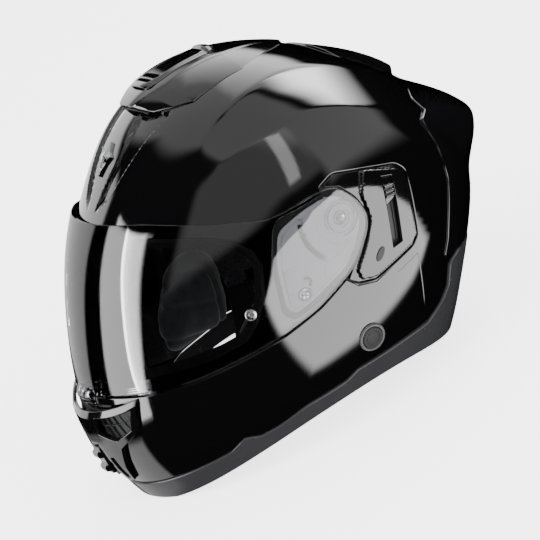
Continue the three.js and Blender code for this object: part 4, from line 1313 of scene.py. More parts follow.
def exhaust_vanes():
    """The duct's floor, with five upright vanes."""
    duct = panel(np.arange(140, 150.2, 1.0), np.arange(-12, 12.1, 1.0), 0.9, None, wall=1.6, rim=0.2)
    for at in (-9, -4.5, 0, 4.5, 9):
        duct.join(swept_bar([(141, at, 4.6), (145, at, 4.9), (149.4, at, 5.1)], 0.9, 4.2, 0.2))
    return duct


def forehead_badge():
    """A plain faceted kite, bright plated."""
    theta = np.array([math.radians(30.5)])
    middle = lift(theta, np.zeros(1), np.array([0.6]))[0]
    out = form_normal(theta, np.zeros(1))[0]
    sideways = np.array([1.0, 0, 0])
    up = np.cross(out, sideways)
    edge_height, foot_height, peak, peak_up = 0.9, -1.2, 3.0, 1.5
    half_ring = [(-3.6, 5.4), (-7.4, 2.4), (-3.4, -3.4)]
    ring = [(0, 12.5)] + half_ring + [(0, -12)] + [(-x, y) for x, y in reversed(half_ring)]
    badge = Shape()
    edge = badge.add_points([middle + sideways * x + up * y + out * edge_height for x, y in ring])
    foot = badge.add_points([middle + sideways * x + up * y + out * foot_height for x, y in ring])
    top = badge.add_points([middle + up * peak_up + out * peak])
    base = badge.add_points([middle + out * foot_height])
    count = len(ring)
    for k in range(count):
        m = (k + 1) % count
        badge.add_face([edge + k, edge + m, top])
        badge.add_face([foot + k, foot + m, edge + m, edge + k])
        badge.add_face([base, foot + m, foot + k])
    return oriented(badge)


def rear_grille():
    """A louvred outlet low at the back: a frame plate with slanted blades."""
    middle_turn, middle_over, half_high, half_wide = 194.5, 13, 4.8, 6.6
    blades, first_blade, blade_step = 4, 191.4, 2.1

    def field(theta, psi):
        turn, over = np.degrees(theta), np.degrees(psi)
        side = (half_wide - np.abs(over - middle_over)) * REAR_MM_PER_DEGREE
        return np.minimum(side, (half_high - np.abs(turn - middle_turn)) * 2.5)

    thetas, psis = np.arange(189, 200, 0.7), np.arange(6, 20.1, 0.7)
    grille = panel(thetas, psis, 1.9, field, wall=1.6, rim=0.5, step=0.1)
    for k in range(blades):
        at = first_blade + blade_step * k
        blade = [(at, 7.6, 3.4), (at + 0.5, middle_over, 3.6), (at + 1.0, 18.4, 3.4)]
        grille.join(swept_bar(blade, 1.5, 2.6, 0.5))
    return grille


def make_crown():
    piece("crown_vent", crown_vent(), COVER_BLACK, "gloss_cover", replaces=["top_vent_housing"])
    piece("crown_vent_gasket", vent_gasket(), RUBBER, "gasket_rubber")
    piece("crown_vent_mouth", vent_mouth(), MATT, "matt_plastic")
    slider = vent_slider()
    piece("crown_vent_slider", slider, COVER_BLACK, "gloss_cover", "top_vent_slider", ["top_vent_slider"])
    piece("exhaust_hood", exhaust_vent(), COVER_BLACK, "gloss_cover", replaces=["crown_exhaust"])
    piece("exhaust_vanes", exhaust_vanes(), MATT, "matt_plastic")
    piece("front_badge", forehead_badge(), CHROME, "badge_chrome", replaces=["forehead_badge"])
    pairs(("nape_grille", rear_grille(), MATT, "matt_plastic", "rear_grille"))


# ---- Chin vent -----------------------------------------------------------------------------------

# The chin's openings and facets are drawn in theta and |psi|; a degree of each is this many millimetres.
CHIN_SCALE = (3.75, 2.1)
CHIN_HALF = [
    (312.9, -1), (312.9, 7.6), (316.2, 9.2), (319.8, 12.6), (322, 22.8), (327.6, 25.4), (327.6, -1),
]
CHIN_OPENING = [(326.1, 22.3), (326.4, 7.6), (323.4, 6.6), (321.5, 12.6), (322.5, 19.8)]
# The facets' heights over the lower panel, at rows of theta and columns of |psi|.
CHIN_ROWS = [312.5, 316, 320, 322.5, 326.4, 327.7]
CHIN_COLUMNS = [0, 5.2, 12, 19, 26]
CHIN_HEIGHTS = np.array(
    [
        [3.0, 2.6, 1.6, 1.4, 1.4],
        [6.4, 5.2, 2.4, 1.6, 1.4],
        [8.0, 6.8, 4.0, 2.2, 1.5],
        [8.4, 7.4, 5.2, 3.4, 1.7],
        [9.2, 8.6, 7.0, 5.2, 2.8],
        [7.0, 6.6, 5.4, 3.8, 1.6],
    ]
)
CHIN_SLIDER_LOW, CHIN_SLIDER_HIGH, CHIN_SLIDER_HALF = 315.4, 320.6, 3.4


def on_chin(outline, theta, psi):
    """Signed distance to an outline drawn in theta and |psi| on the chin, in millimetres."""
    flat = np.stack([np.degrees(theta), np.degrees(np.abs(psi))], -1)
    return distance_in(np.array(outline) * CHIN_SCALE, flat * CHIN_SCALE)


def facets(theta, psi):
    """Flat-sided relief: heights set at a few rows and columns, and straight between them."""
    turn = np.clip(np.degrees(theta), CHIN_ROWS[0], CHIN_ROWS[-1] - 1e-6)
    over = np.clip(np.degrees(np.abs(psi)), 0, CHIN_COLUMNS[-1] - 1e-6)
    rows, columns = np.array(CHIN_ROWS), np.array(CHIN_COLUMNS)
    i = np.searchsorted(rows, turn, side="right") - 1
    j = np.searchsorted(columns, over, side="right") - 1
    s = (turn - rows[i]) / (rows[i + 1] - rows[i])
    t = (over - columns[j]) / (columns[j + 1] - columns[j])
    near = CHIN_HEIGHTS[i, j] * (1 - t) + CHIN_HEIGHTS[i, j + 1] * t
    far = CHIN_HEIGHTS[i + 1, j] * (1 - t) + CHIN_HEIGHTS[i + 1, j + 1] * t
    return near * (1 - s) + far * s


def chin_housing():
    """The facetted surround, with its two openings, a groove either side of the slider, and its slot."""
    def height(theta, psi):
        turn, over = turn_and_over(theta, psi)
        groove = smooth(5.5, 5.8, over) * (1 - smooth(6.6, 6.9, over)) * smooth(313.6, 314, turn)
        groove = groove * (1 - smooth(318.2, 318.6, turn))
        slot = 1 - smooth(CHIN_SLIDER_HALF + 0.2, CHIN_SLIDER_HALF + 0.6, over)
        slot = slot * (1 - smooth(321.2, 321.5, turn))
        return panel_proud(theta, psi) + facets(theta, psi) - 2.0 * groove - 3.8 * slot

    def field(theta, psi):
        return np.minimum(on_chin(CHIN_HALF, theta, psi), -on_chin(CHIN_OPENING, theta, psi) - 0.2)

    thetas, psis = np.arange(312.5, 328.1, 0.22), np.arange(-26, 26.1, 0.4)
    return panel(thetas, psis, height, field, wall=2.6, rim=0.4, step=0.04)


def chin_floor():
    """The dark bed behind the openings."""
    def height(theta, psi):
        return panel_proud(theta, psi) + 0.35

    return panel(np.arange(313, 328, 0.8), np.arange(-25, 25.1, 1.2), height,
                 lambda t, p: on_chin(CHIN_HALF, t, p) - 1.0, wall=1.0, rim=0.2)


def chin_grille():
    """Slanted bars behind the left opening, with a rail along its top, its foot and its middle."""
    grille = Shape()
    top = [(326.3, 7.6, 6.0), (326.1, 14.5, 5.0), (325.9, 21.8, 4.2)]
    foot = [(323.3, 7.0, 6.0), (321.7, 12.6, 5.0), (322.6, 19.4, 4.0)]
    middle = [(324.5, 7.6, 6.6), (324.2, 14.5, 5.6), (324.4, 21.2, 4.2)]
    slant = 1.6
    for at in 8.6 + 11.6 * np.linspace(0, 1, 5):
        foot_turn = float(np.interp(at + slant, [7, 12.6, 19.6], [323.3, 321.7, 322.7]))
        height = 8.2 - 0.2 * at
        bar = [(326.3, at - slant, height), (324.3, at, height + 0.5), (foot_turn, at + slant, height)]
        grille.join(swept_bar(bar, 0.95, 3.2, 0.3))
    for rail in (top, foot):
        grille.join(swept_bar(rail, 1.1, 3.0, 0.35))
    return grille.join(swept_bar(middle, 0.8, 2.6, 0.25))


def chin_slider():
    """The sliding shutter: a block with two polished finger pads."""
    low, high, half = CHIN_SLIDER_LOW, CHIN_SLIDER_HIGH, CHIN_SLIDER_HALF

    def height(theta, psi):
        turn, over = turn_and_over(theta, psi)
        pads = sum(np.exp(-(((turn - at) / 0.62) ** 6)) for at in (316.6, 319.3))
        block = 7.6 + 2.6 * pads * (1 - smooth(1.9, 2.5, over))
        return panel_proud(theta, psi) + block - 1.4 * smooth(half - 0.9, half, over)

    def field(theta, psi):
        turn, over = turn_and_over(theta, psi)
        along, sideways = CHIN_SCALE
        return np.minimum(np.minimum(turn - low, high - turn) * along, (half - over) * sideways)

    thetas, psis = np.arange(low - 0.2, high + 0.3, 0.14), np.arange(-3.8, 3.81, 0.25)
    return panel(thetas, psis, height, field, wall=3.2, rim=0.5, step=0.03)


def make_chin():
    piece("chin_surround", chin_housing(), COVER_BLACK, "satin_trim", replaces=["chin_vent_housing"])
    piece("chin_bed", chin_floor(), MATT, "matt_plastic")
    pairs(("chin_bars", chin_grille(), MATT, "matt_plastic", "chin_grille"))
    shutter = chin_slider()
    piece("chin_shutter", shutter, COVER_BLACK, "satin_trim", "chin_vent_slider", ["chin_vent_slider"])


# ---- Inside --------------------------------------------------------------------------------------

SUN_AXIS = (-20, 10)
SUN_RADIUS, SUN_HALF, SUN_WALL = 84, 96, 2
SUN_LOW, SUN_HIGH = 5, 60
SUN_POWER = 2.4
SUN_ARM_FROM, SUN_ARM_REACH = 23, 46
SUN_TIP = 94.5


def sun_lens():
    """The stowed sun visor: a strip of a barrel round its own axis."""
    axis_y, axis_z = SUN_AXIS

    def radius(x):
        share = np.clip(np.abs(x) / SUN_HALF, 0, 1 - 1e-6)
        return SUN_RADIUS * (1 - share**SUN_POWER) ** (1 / SUN_POWER)

    def surface(u, x):
        r, a = radius(x), np.radians(u)
        return np.stack([x, axis_y - r * np.cos(a), axis_z + r * np.sin(a)], -1)

    def field(u, x):
        """Below the upper edge, above the lower one, and cut away under the arms at both ends."""
        r = radius(x)
        f = np.minimum(r * np.sin(np.radians(u - SUN_LOW)), r * np.sin(np.radians(SUN_HIGH - u)))
        f = np.minimum(f, np.maximum(r - SUN_ARM_REACH, r * np.sin(np.radians(SUN_ARM_FROM - u))))
        return np.minimum(f, SUN_TIP - np.abs(x)) - 0.5

    xs = both_sides(np.concatenate([np.arange(0, 80, 2.5), np.arange(80, 95.6, 0.8)]))
    spots, faces = clipped_grid(np.arange(4, 61.1, 1.2), xs, field, 0, False)
    u, x = spots[:, 0], spots[:, 1]
    top = surface(u, x)
    around = surface(u + 0.2, x) - surface(u - 0.2, x)
    normal = unit(np.cross(around, surface(u, x + 0.1) - surface(u, x - 0.1)))
    outward = top - np.array([0, axis_y, axis_z])
    normal *= np.sign((normal * outward).sum(-1, keepdims=True))
    return thickened(top, normal, turned_out(faces, top, normal), 0.5, SUN_WALL)


def sun_pivot():
    """The left pivot: a boss in the foam, a pin through the arm, and its head inside."""
    centre = np.array([SUN_HALF, *SUN_AXIS], float)
    head = [(0, -6.4), (4.4, -6.2), (4.4, -4.6), (2.4, -4.6), (2.4, 0.7)]
    boss = [(6.9, 0.7), (7, 1.4), (7, 10.6), (6.4, 11), (0, 11)]
    return oriented(lathe((head + boss)[::-1], centre, (1, 0, 0), 40))


def deflector():
    """The soft flap over the nose, narrower and further from the shell towards its top."""
    low, high = 322, 338

    def share(theta):
        return (np.degrees(theta) - low) / (high - low)

    def height(theta, _):
        return -25.5 - 2 * share(theta)

    def field(theta, psi):
        turn, over = turn_and_over(theta, psi)
        return np.minimum((22 - 5 * share(theta) - over) * 1.7, np.minimum(turn - low, high - turn) * 2.8)

    thetas, psis = np.arange(321, 339.1, 0.8), np.arange(-23, 23.1, 0.9)
    return panel(thetas, psis, height, field, wall=1.8, rim=0.8, step=0.1)


def block(centre, size, bevel=0.7, segments=3):
    """A block with rounded edges."""
    made = bmesh.new()
    bmesh.ops.create_cube(made, size=1.0)
    bmesh.ops.scale(made, vec=size, verts=made.verts)
    edges = list(made.edges)
    bmesh.ops.bevel(made, geom=edges, offset=bevel, segments=segments, profile=0.5, affect="EDGES")
    made.normal_update()
    shape = Shape()
    shape.add_points([np.array(v.co) + np.array(centre, float) for v in made.verts])
    for face in made.faces:
        flat = max(abs(c) for c in face.normal) > 0.999
        corner_normals = [np.array(face.normal if flat else v.normal) for v in face.verts]
        shape.add_face([v.index for v in face.verts], corner_normals)
    made.free()
    return shape


def shape_of(blocks):
    """One shape of several blocks, each given as centre, size and perhaps bevel and segments."""
    whole = Shape()
    for centre, size, *bevel in blocks:
        whole.join(block(centre, size, *bevel))
    return whole


BUCKLE_AT = (3, -14, -132)
BUCKLE_SIZE = (38, 26, 9)
STRAP_TURNS = [(99, 13, -84), (88, 8, -100), (66, -4, -121), (52, -10, -129)]
STRAP_HALF, STRAP_THIN = 11, 1.0


def buckle_pieces():
    """The ratchet's body between two cheeks, the toothed tongue, and the lever with its grip ribs."""
    x, y, z = BUCKLE_AT
    long, wide, high = BUCKLE_SIZE
    wall = 4.3
    body = [((x, y, z - high / 2 + 0.9), (long, wide, 1.8))]
    for side in (-1, 1):
        body.append(((x, y + side * (wide - wall) / 2, z), (long, wall, high), 1.6, 4))
        body.append(((x + 9, y + side * (wide / 2 + 0.2), z + 0.6), (4, 1.0, 4), 0.4))
    body.append(((x + long / 2 - 3, y, z + 1.0), (6, wide - 2, high - 3), 1.2))
    tongue = [((x - long / 2 - 3, y, z - 1.2), (40, 16, 2), 0.8)]
    tongue += [((x - 30 + 4.4 * k, y, z), (2, 12, 1.2), 0.35) for k in range(5)]
    lever = [((x - 3, y, z + high / 2 + 0.2), (26, 14.6, 2.6), 1.1, 4)]
    lever += [((x - 12.5 + 2.6 * k, y, z + high / 2 + 1.6), (1.1, 11, 0.8), 0.3) for k in range(4)]
    return shape_of(body), shape_of(tongue), shape_of(lever)


def strap(end, end_lift, side):
    """Flat webbing with a rolled selvedge along both sides, and four rows of stitches at the buckle."""
    _, y, z = BUCKLE_AT
    path = spline(STRAP_TURNS + [(end, y, z + end_lift)], 60)
    half, thin = STRAP_HALF, STRAP_THIN
    upper = [(-half, 0), (-half + 0.5, thin * 1.15), (-half + 1.8, thin * 0.85), (0, thin)]
    lower = [(half - 0.5, -thin), (0, -thin), (-half + 0.5, -thin)]
    outline = upper + [(-a, b) for a, b in upper[2::-1]] + lower
    along = unit(np.gradient(path, axis=0))
    width = np.array([0, 1.0, 0])
    ups = np.cross(along, width)
    rings = [[spot + width * a + up * b for a, b in outline] for spot, up in zip(path, ups)]
    shape = oriented(lofted(rings))
    fold = slice(-14, -2)
    for offset in (-8.0, 8.0, -3.0, 3.0):
        stitch = [(spot + width * offset + up * 1.12, up) for spot, up in zip(path[fold], ups[fold])]
        shape.join(oriented(ribbon_bar(stitch, 0.7, 0.5, 0.15)))
    return shape if side == "left" else shape.mirrored()


def strap_anchor():
    """A round plate on the inside of the shell, with a rivet's head on both faces."""
    spot, out = side_place(13, -82, -6)
    plate = [(0, 0.9), (8.6, 0.9), (9.0, 0.5), (9.0, -0.5), (8.6, -0.9), (0, -0.9)]
    rivet = [(0, 3.2), (2.2, 3.1), (3.6, 2.4), (4, 1.2), (4, 0.4), (0, 0.4)]
    anchor = lathe(plate, spot, out, 40)
    anchor.join(lathe([(r, h - 3.4) for r, h in rivet], spot, out, 32))
    return anchor.join(lathe(rivet, spot, out, 32))


def foam_block(region, thetas, psis, wall):
    """A moulded foam piece between the shell and the padding, with eased edges."""
    return region_panel(region, thetas, psis, -5.0, wall=wall, rim=2.5, step=0.3)


def make_foam():
    """The foam of the cheeks and the chin, and the crown's foam, which keeps its CAD mesh."""
    cheek = [(-86, -77), (-50, -72), (-11, -72), (-9, -84), (-16, -105), (-44, -111), (-79, -117)]
    chin = [(-FAR, -82), (-110, -76), (-95, -74), (-95, -129), (-112, -137), (-FAR, -151)]
    block = foam_block(cheek, np.arange(225, 330, 1.8), np.arange(20, 84, 2.0), 24.6)
    pairs(("cheek_foam", block, FOAM, "impact_foam", "cheek_block"))
    bar = foam_block(chin, np.arange(300, 352, 1.4), np.arange(-70, 70.1, 2.0), 16.6)
    piece("chin_foam", bar, FOAM, "impact_foam", replaces=["chin_liner"])
    slots = frame["nodes"]["impact_liner"].data.materials
    slots.clear()
    slots.append(FOAM)


def make_inside():
    piece("sun_lens", sun_lens(), SUN_LENS, "sun_lens", "sun_visor", ["sun_visor"])
    pairs(("sun_pivot", sun_pivot(), MATT, "matt_plastic", "sun_visor_pivot"))
    pairs(("anchor", strap_anchor(), STEEL, "screw_steel", "strap_anchor"))
    piece("nose_deflector", deflector(), RUBBER, "gasket_rubber", replaces=["breath_deflector"])
    body, tongue, lever = buckle_pieces()
    piece("ratchet_body", body, MATT, "matt_plastic", replaces=["buckle_body"])
    piece("ratchet_tongue", tongue, MATT, "matt_plastic", replaces=["buckle_tongue"])
    piece("ratchet_lever", lever, RED, "buckle_red", "buckle_lever", ["buckle_lever"])
    for side, end, end_lift in (("left", 23, 0), ("right", 35.5, 1.0)):
        webbing = strap(end, end_lift, side)
        piece(f"strap_{side}", webbing, WEBBING, "strap_webbing", replaces=[f"chin_strap_{side}"])


# ---- Soft goods ----------------------------------------------------------------------------------


def applied(thing):
    """Bakes the modifiers of an object into its mesh."""
    graph = bpy.context.evaluated_depsgraph_get()
    graph.update()
    mesh = bpy.data.meshes.new_from_object(thing.evaluated_get(graph))
    thing.modifiers.clear()
    thing.data = mesh
    return thing


def coordinates(mesh):
    """The places of a mesh's points, one row each."""
    flat = np.empty(len(mesh.vertices) * 3)
    mesh.vertices.foreach_get("co", flat)
    return flat.reshape(-1, 3)


def remeshed(thing, voxel):
    """The same form in even quads, a little smoothed."""
    remesh = thing.modifiers.new("remesh", "REMESH")
    remesh.mode = "VOXEL"
    remesh.voxel_size = voxel
    smooth_out = thing.modifiers.new("smooth", "SMOOTH")
    smooth_out.factor = 0.5
    smooth_out.iterations = 6
    return applied(thing)


def inflated(thing, cap, pressure=4.0, frames=20):
    """Swells a pad as stuffed cloth, and holds each point within cap of where it started."""
    before = coordinates(thing.data)
    cloth = thing.modifiers.new("cloth", "CLOTH")
    settings = cloth.settings
    settings.quality = 6
    settings.use_pressure = True
    settings.uniform_pressure_force = pressure
    settings.tension_stiffness = 18
    settings.compression_stiffness = 18
    settings.bending_stiffness = 0.6
    settings.effector_weights.gravity = 0
    cloth.point_cache.frame_start, cloth.point_cache.frame_end = 1, frames
    scene = bpy.context.scene
    for at in range(1, frames + 1):
        scene.frame_set(at)
    applied(thing)
    scene.frame_set(1)
    after = coordinates(thing.data)
    move = after - before
    length = np.linalg.norm(move, axis=1, keepdims=True)
    capped = before + move * np.minimum(1, cap / np.maximum(length, 1e-9))
    thing.data.vertices.foreach_set("co", capped.ravel())
    thing.data.update()
    return thing


def to_wearer(points):
    """Back from the row frame in metres to the wearer's in millimetres."""
    c, s = math.cos(REST_SLOPE), math.sin(REST_SLOPE)
    x, y, z = np.moveaxis((points - PIVOT) / MILLIMETRE, -1, 0)
    return np.stack([x, c * y - s * z, s * y + c * z], -1)


def sewn(thing, seam_depth):
    """Pulls the surface in where seam_depth (of wearer points, in millimetres) says."""
    mesh = thing.data
    normals = np.empty(len(mesh.vertices) * 3)
    mesh.vertices.foreach_get("normal", normals)
    points = coordinates(mesh)
    depth = seam_depth(to_wearer(points))
    points -= normals.reshape(-1, 3) * (depth * MILLIMETRE)[:, None]
    mesh.vertices.foreach_set("co", points.ravel())
    mesh.update()
    return thing


def pad(name, shape, material, slot, replaces, fill, voxel, cap, seams):
    """A padded piece: its closed form, swollen as stuffed cloth, smoothed, and sewn along its seams.

    voxel is the remesh's size and cap the furthest that a point swells, both in metres."""
    thing = remeshed(placed(name, mesh_of(name, shape)), voxel)
    inflated(thing, cap)
    finer = thing.modifiers.new("finer", "SUBSURF")
    finer.levels = finer.render_levels = 1
    applied(thing)
    sewn(thing, seams)
    thing.data.shade_smooth()
    thing.data.materials.clear()
    thing.data.materials.append(material)
    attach(thing, "helmet")
    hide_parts(*replaces)
    return thing


def channel(distance, width=1.6):
    """1 on a seam, and falling away on both sides of it."""
    return np.exp(-((distance / width) ** 2))


def crown_liner():
    """The cloth cap inside the foam, from the brow to the nape."""
    region = [(-FAR, 30), (-62, 27), (-42, -15), (0, -34), (60, -48), (FAR, -54), (FAR, FAR), (-FAR, FAR)]
    psis = np.concatenate([[-90.0], np.arange(-86, 86.1, 4.3), [90.0]])
    return region_panel(region, np.arange(0, 360, 4.0), psis, -31.3, wall=5.6, wrap=360, poles=True,
                        rim=1.6, step=0.3)


def liner_seams(points):
    """Two channels along the crown on each side of its middle, and three across it."""
    x, y, z = points.T
    turn = np.degrees(np.arctan2(z, -y)) % 360
    inner, outer = 26, 62
    over = np.abs(x)
    depth = 1.9 * channel(over - inner) + 1.9 * channel(over - outer, 1.8)
    crossing = sum(channel((turn - at) * 1.4) for at in (66, 112, 150))
    return depth + 1.6 * crossing * (over < outer)


CHEEK = spline(
    [
        (-86, -78), (-69, -52), (-48, -41), (-23, -43), (-11, -56), (-9, -84),
        (-16, -108), (-44, -113), (-78, -113), (-87, -97), (-86, -79),
    ],
    60,
)


def cheek_shape():
    """Thick in the middle and thin at its edges, hollowed for the face."""
    thetas, psis = np.arange(225, 345, 1.8), np.arange(20, 84, 2.0)

    def field(u, v):
        return inside(CHEEK, *in_degrees(u, v)) - 1.5

    spots, faces = clipped_grid(thetas, psis, field, 0, False)
    theta, psi = in_degrees(spots[:, 0], spots[:, 1])
    outer = lift(theta, psi, np.full(len(theta), -31.8))
    y, z = outer[:, 1], outer[:, 2]
    face_side = 66 * np.sqrt(np.clip(1 - ((y - 12) / 118) ** 2 - ((z + 52) / 150) ** 2, 0.05, 1))
    edge = inside(CHEEK, theta, psi)
    thinnest, edge_band = 8, 15
    easing = 0.5 + 0.5 * smooth(0, edge_band, edge)
    thick = np.clip(outer[:, 0] - face_side - 1.0, thinnest, None) * easing
    left = np.broadcast_to([1.0, 0, 0], outer.shape)
    return slab(outer, outer - left * thick[:, None], turned_out(faces, outer, left))


def cheek_seams(points):
    """A panel seam inside the pad's edge, and two pleats across its face."""
    theta, psi = side_angles(points[:, 1], points[:, 2])
    edge = inside(CHEEK, theta, psi)
    seam_at = 11
    face = np.abs(points[:, 0]) < 84
    y, z = points[:, 1], points[:, 2]
    pleats = sum(channel(z - at + slope * (y + 44)) for at, slope in ((-74, 0.25), (-97, 0.2)))
    return face * (1.8 * channel(edge - seam_at) + 1.3 * pleats * (edge > seam_at))


def neck_roll():
    """The padded roll along the nape."""
    region = [
        (37, -81.5), (64, -82.5), (FAR, -82.5), (FAR, -102), (100, -108), (62, -103.5), (39, -103.5),
    ]
    thetas, psis = np.arange(180, 262, 2.0), np.arange(-70, 70.1, 3.0)
    return region_panel(region, thetas, psis, -9.5, wall=21, rim=2.5, step=0.3)


def neck_seams(points):
    """Five seams across the roll."""
    return 1.5 * sum(channel(np.abs(points[:, 0]) - at, 1.4) for at in (0, 26, 50))


CURTAIN_FRONT, CURTAIN_BACK = -166, -94
CURTAIN_THICK, CURTAIN_SAG = 0.9, 1.4
CURTAIN_OVER_RIM, CURTAIN_SLOPE = 8, 3
CURTAIN_INSET, CURTAIN_CLEARANCE = 9.0, 1.5


def chin_curtain():
    """A thin cloth floor under the chin, sagging a little, and its flat width, length and area."""
    def plane(y):
        return rest_plane(y) + CURTAIN_OVER_RIM + CURTAIN_SLOPE * smooth(-FAR, CURTAIN_BACK + 2, y)

    ys = np.linspace(CURTAIN_FRONT, CURTAIN_BACK, 200)
    theta = np.arctan2(plane(ys), -ys)
    ys = ys[np.hypot(ys, plane(ys)) < station(RADII, theta) - 12]
    ys = np.linspace(ys[0], CURTAIN_BACK, 26)
    theta, psi = side_angles(ys, plane(ys))
    half = lift(theta, psi, np.full(len(ys), -CURTAIN_INSET))[:, 0] - CURTAIN_CLEARANCE
    share = np.linspace(-1, 1, 41)
    x = half[:, None] * share
    sag = -CURTAIN_SAG * (1 - share**2) * np.sin(np.pi * np.linspace(0.05, 0.95, len(ys)))[:, None]
    top = np.stack([x, np.broadcast_to(ys[:, None], x.shape), plane(ys)[:, None] + sag], -1)
    faces = grid_faces(*x.shape)
    shape = oriented(slab(top, top - np.array([0, 0, CURTAIN_THICK]), faces))
    down_the_middle = np.diff(top, axis=0)[:, len(share) // 2]
    length = float(np.linalg.norm(down_the_middle, axis=1).sum()) * MILLIMETRE
    width = 2 * float(half.max()) * MILLIMETRE
    area = float(np.trapz(2 * half, ys)) * MILLIMETRE**2
    return shape, width, length, area


def make_soft_goods():
    liner = crown_liner()
    pad("crown_lining", liner, LINING, "lining_cloth", ["comfort_liner"], 0.5, 0.0045, 0.0015, liner_seams)
    cheek = cheek_shape()
    for side, shape in (("left", cheek), ("right", cheek.mirrored())):
        node = f"cheek_pad_{side}"
        pad(f"cheek_cushion_{side}", shape, LINING, "lining_cloth", [node], 0.6, 0.004, 0.003, cheek_seams)
    pad("nape_roll", neck_roll(), VINYL, "neck_vinyl", ["neck_roll"], 0.6, 0.004, 0.003, neck_seams)
    shape, width, length, area = chin_curtain()
    curtain = piece("curtain", shape, LINING, "lining_cloth", replaces=["chin_curtain"])


# ---- Studio --------------------------------------------------------------------------------------

# The camera's own axes, its distance, the shift of its aim, and the height of its picture, in metres.
VIEW_FROM = Vector((0.8800, -0.3255, 0.3457))
VIEW_RIGHT = Vector((0.4540, 0.7903, -0.4114))
VIEW_UP = Vector((-0.1394, 0.5190, 0.8433))
VIEW_DISTANCE = 1.7
VIEW_SHIFT_RIGHT, VIEW_SHIFT_UP = 0.00825, -0.05017
VIEW_FIELD = 0.3711

SOFTBOX_DISTANCE = 2.4
DOME_RADIUS = 2.2
FLOOR_REACH = 14
FLOOR_LIGHT = 3.0
WORLD_LIGHT = 1.2

# What the gloss mirrors, drawn by azimuth and elevation.
STRIP = [(-22, -17), (6, -17), (5, 36), (-34, 36)]
FAR_WALL = [(-108, -17), (-44, -17), (-47, 34), (-108, 34)]
LOW_FRONT = [(-80, -52), (-9, -52), (-9, -21), (-80, -21)]
SKY = [
    (-192, 24), (-118, 24), (-70, 34), (-45, 54), (20, 54), (34, 47), (66, 44), (104, 30),
    (109, -1), (165, 0), (168, 90), (-192, 90),
]
BACK_WALL = [(-192, 18), (-116, 18), (-116, 74), (-192, 74)]
STREAK = [(-190, 23), (-154, 23), (-154, 62), (-190, 62)]
NEAR_WALL = [(20, 12), (112, 10), (112, 44), (66, 50), (30, 52)]
SMALL_WINDOW = [(87, 17), (97, 17), (103, 40), (91, 43)]
DOME_PATCHES = [
    (STRIP, (6.4, 6.8), 2),
    (FAR_WALL, (1.4, 1.9), 4),
    (LOW_FRONT, (0.9, 1.2), 4),
    (SKY, (0.85, 0.6), 9),
    (BACK_WALL, (2.9, 0.0), 8),
    (STREAK, (11.0, 11.0), 17),
    (NEAR_WALL, (0.4, 0.4), 6),
    (SMALL_WINDOW, (2.2, 2.2), 2),
]

# The bright card beside the helmet, drawn on the floor in metres.
FLOOR_CARD = [
    (0.15, -0.05), (0.15, 0.17), (0.35, 0.28), (0.62, 0.46), (2.4, 0.9), (2.4, -0.65), (0.6, -0.24),
]
FLOOR_PATCHES = [(FLOOR_CARD, (4.3, 5.2), 0.015)]


def camera():
    """The photo's view of the helmet."""
    data = bpy.data.cameras.new("camera")
    data.sensor_width = 36
    data.lens = data.sensor_width * VIEW_DISTANCE / VIEW_FIELD
    data.clip_end = 50
    thing = placed("camera", data)
    target = Vector(PIVOT) + VIEW_RIGHT * VIEW_SHIFT_RIGHT + VIEW_UP * VIEW_SHIFT_UP
    turn = Matrix((VIEW_RIGHT, VIEW_UP, VIEW_FROM)).transposed().to_4x4()
    thing.matrix_world = Matrix.Translation(target + VIEW_FROM * VIEW_DISTANCE) @ turn
    bpy.context.scene.camera = thing


def direction(azimuth, elevation):
    """A unit vector: azimuth 0 ahead of the wearer, 90 to the wearer's left."""
    a, e = math.radians(azimuth), math.radians(elevation)
    return Vector((math.sin(a) * math.cos(e), -math.cos(a) * math.cos(e), math.sin(e)))


def softbox(name, azimuth, elevation, size, power):
    """A square area light that looks at the helmet, and isn't seen in its gloss."""
    data = bpy.data.lights.new(name, "AREA")
    data.shape = "RECTANGLE"
    data.size, data.size_y = size, size
    data.energy = power
    thing = placed(name, data)
    out = direction(azimuth, elevation)
    turn = out.to_track_quat("Z", "Y").to_matrix()
    thing.matrix_world = Matrix.Translation(Vector(PIVOT) + out * SOFTBOX_DISTANCE) @ turn.to_4x4()
    thing.visible_camera = False
    thing.visible_glossy = False


def glow(name, grid_points, strengths):
    """A softly edged glowing sheet that only shows as a reflection in the gloss."""
    mesh = bpy.data.meshes.new(name)
    mesh.from_pydata(grid_points.reshape(-1, 3).tolist(), [], grid_faces(*strengths.shape))
    power = mesh.attributes.new("power", "FLOAT", "POINT")
    power.data.foreach_set("value", strengths.ravel().astype(np.float32))
    s = Surface(name, (0, 0, 0), 1.0, Specular_IOR_Level=0.0)
    s.shader.inputs["Emission Color"].default_value = (1, 1, 1, 1)
    level = s.node("ShaderNodeAttribute", attribute_name="power").outputs["Fac"]
    s.feed(s.shader.inputs["Emission Strength"], level)
    mesh.materials.append(s.material)
    thing = placed(name, mesh)
    for kind in ("camera", "diffuse", "shadow", "transmission", "volume_scatter"):
        setattr(thing, f"visible_{kind}", False)


def lit(patches, flat):
    """Strength at points of a plane.

    A patch is an outline, its strengths at foot and top, and the width of its soft edge."""
    total = np.zeros(flat.shape[:-1])
    for outline, (low, high), edge in patches:
        share = smooth(0, edge, distance_in(outline, flat))
        heights = [spot[1] for spot in outline]
        rise = np.clip((flat[..., 1] - min(heights)) / (max(heights) - min(heights)), 0, 1)
        total += share * (low + (high - low) * rise)
    return total


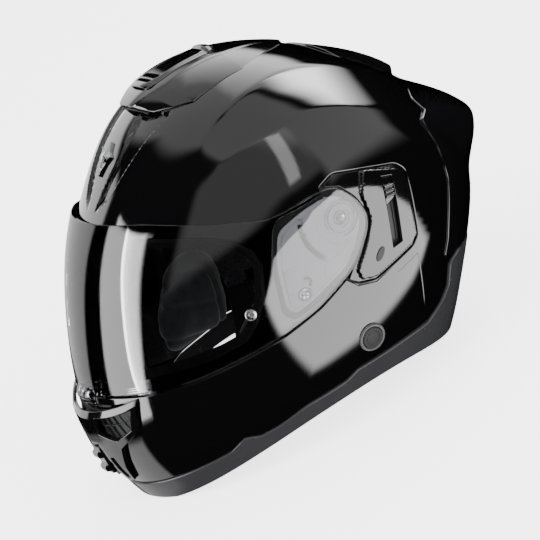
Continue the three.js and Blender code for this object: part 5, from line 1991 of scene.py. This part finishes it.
def dome_glow():
    """What the gloss mirrors from all round: soft patches drawn by azimuth and elevation, in degrees."""
    flat = np.stack(np.meshgrid(np.arange(-192, 169, 1.5), np.arange(-54, 90.1, 1.5), indexing="ij"), -1)
    az, el = np.radians(flat[..., 0]), np.radians(flat[..., 1])
    out = np.stack([np.sin(az) * np.cos(el), -np.cos(az) * np.cos(el), np.sin(el)], -1)
    glow("dome_glow", PIVOT + out * DOME_RADIUS, lit(DOME_PATCHES, flat))


def floor_glow():
    """What the gloss of the left side mirrors from a card on the floor, drawn in metres."""
    ys = 0.03 * np.sinh(np.linspace(-3.8, 4.4, 150))
    flat = np.stack(np.meshgrid(np.geomspace(0.14, 2.4, 110), ys, indexing="ij"), -1)
    lying = np.concatenate([flat, np.full(flat.shape[:-1] + (1,), 0.002)], -1)
    glow("floor_glow", lying, lit(FLOOR_PATCHES, flat))


def floor():
    """The pale floor that the helmet stands on, which glows a little so that it stays white."""
    mesh = bpy.data.meshes.new("floor")
    corners = [(FLOOR_REACH * x, FLOOR_REACH * y, 0) for x, y in ((-1, -1), (1, -1), (1, 1), (-1, 1))]
    mesh.from_pydata(corners, [], [(0, 1, 2, 3)])
    pale = Surface("floor_paper", (0.93, 0.93, 0.93), 0.9, Specular_IOR_Level=0.0)
    pale.shader.inputs["Emission Color"].default_value = (1, 1, 1, 1)
    pale.shader.inputs["Emission Strength"].default_value = FLOOR_LIGHT
    pale.tint(pale.noise(3, 2), (0.925, 0.925, 0.925), (0.935, 0.935, 0.935))
    mesh.materials.append(pale.material)
    thing = placed("floor", mesh)
    thing.visible_glossy = False
    thing.visible_diffuse = False


def studio():
    """White all round, three softboxes, and the sheets that the gloss mirrors."""
    world = bpy.data.worlds.new("world")
    world.use_nodes = True
    background = world.node_tree.nodes["Background"].inputs
    background["Color"].default_value = (1, 1, 1, 1)
    background["Strength"].default_value = WORLD_LIGHT
    bpy.context.scene.world = world
    world.cycles_visibility.glossy = False
    floor()
    softbox("key_box", 20, 55, 1.2, 30)
    softbox("side_box", 95, 30, 1.0, 22)
    softbox("back_box", -150, 45, 1.2, 30)
    dome_glow()
    floor_glow()


# ---- The whole scene -----------------------------------------------------------------------------

make_shell()
make_visor()
make_side_hardware()
make_crown()
make_chin()
make_inside()
make_foam()
make_soft_goods()
camera()
studio()
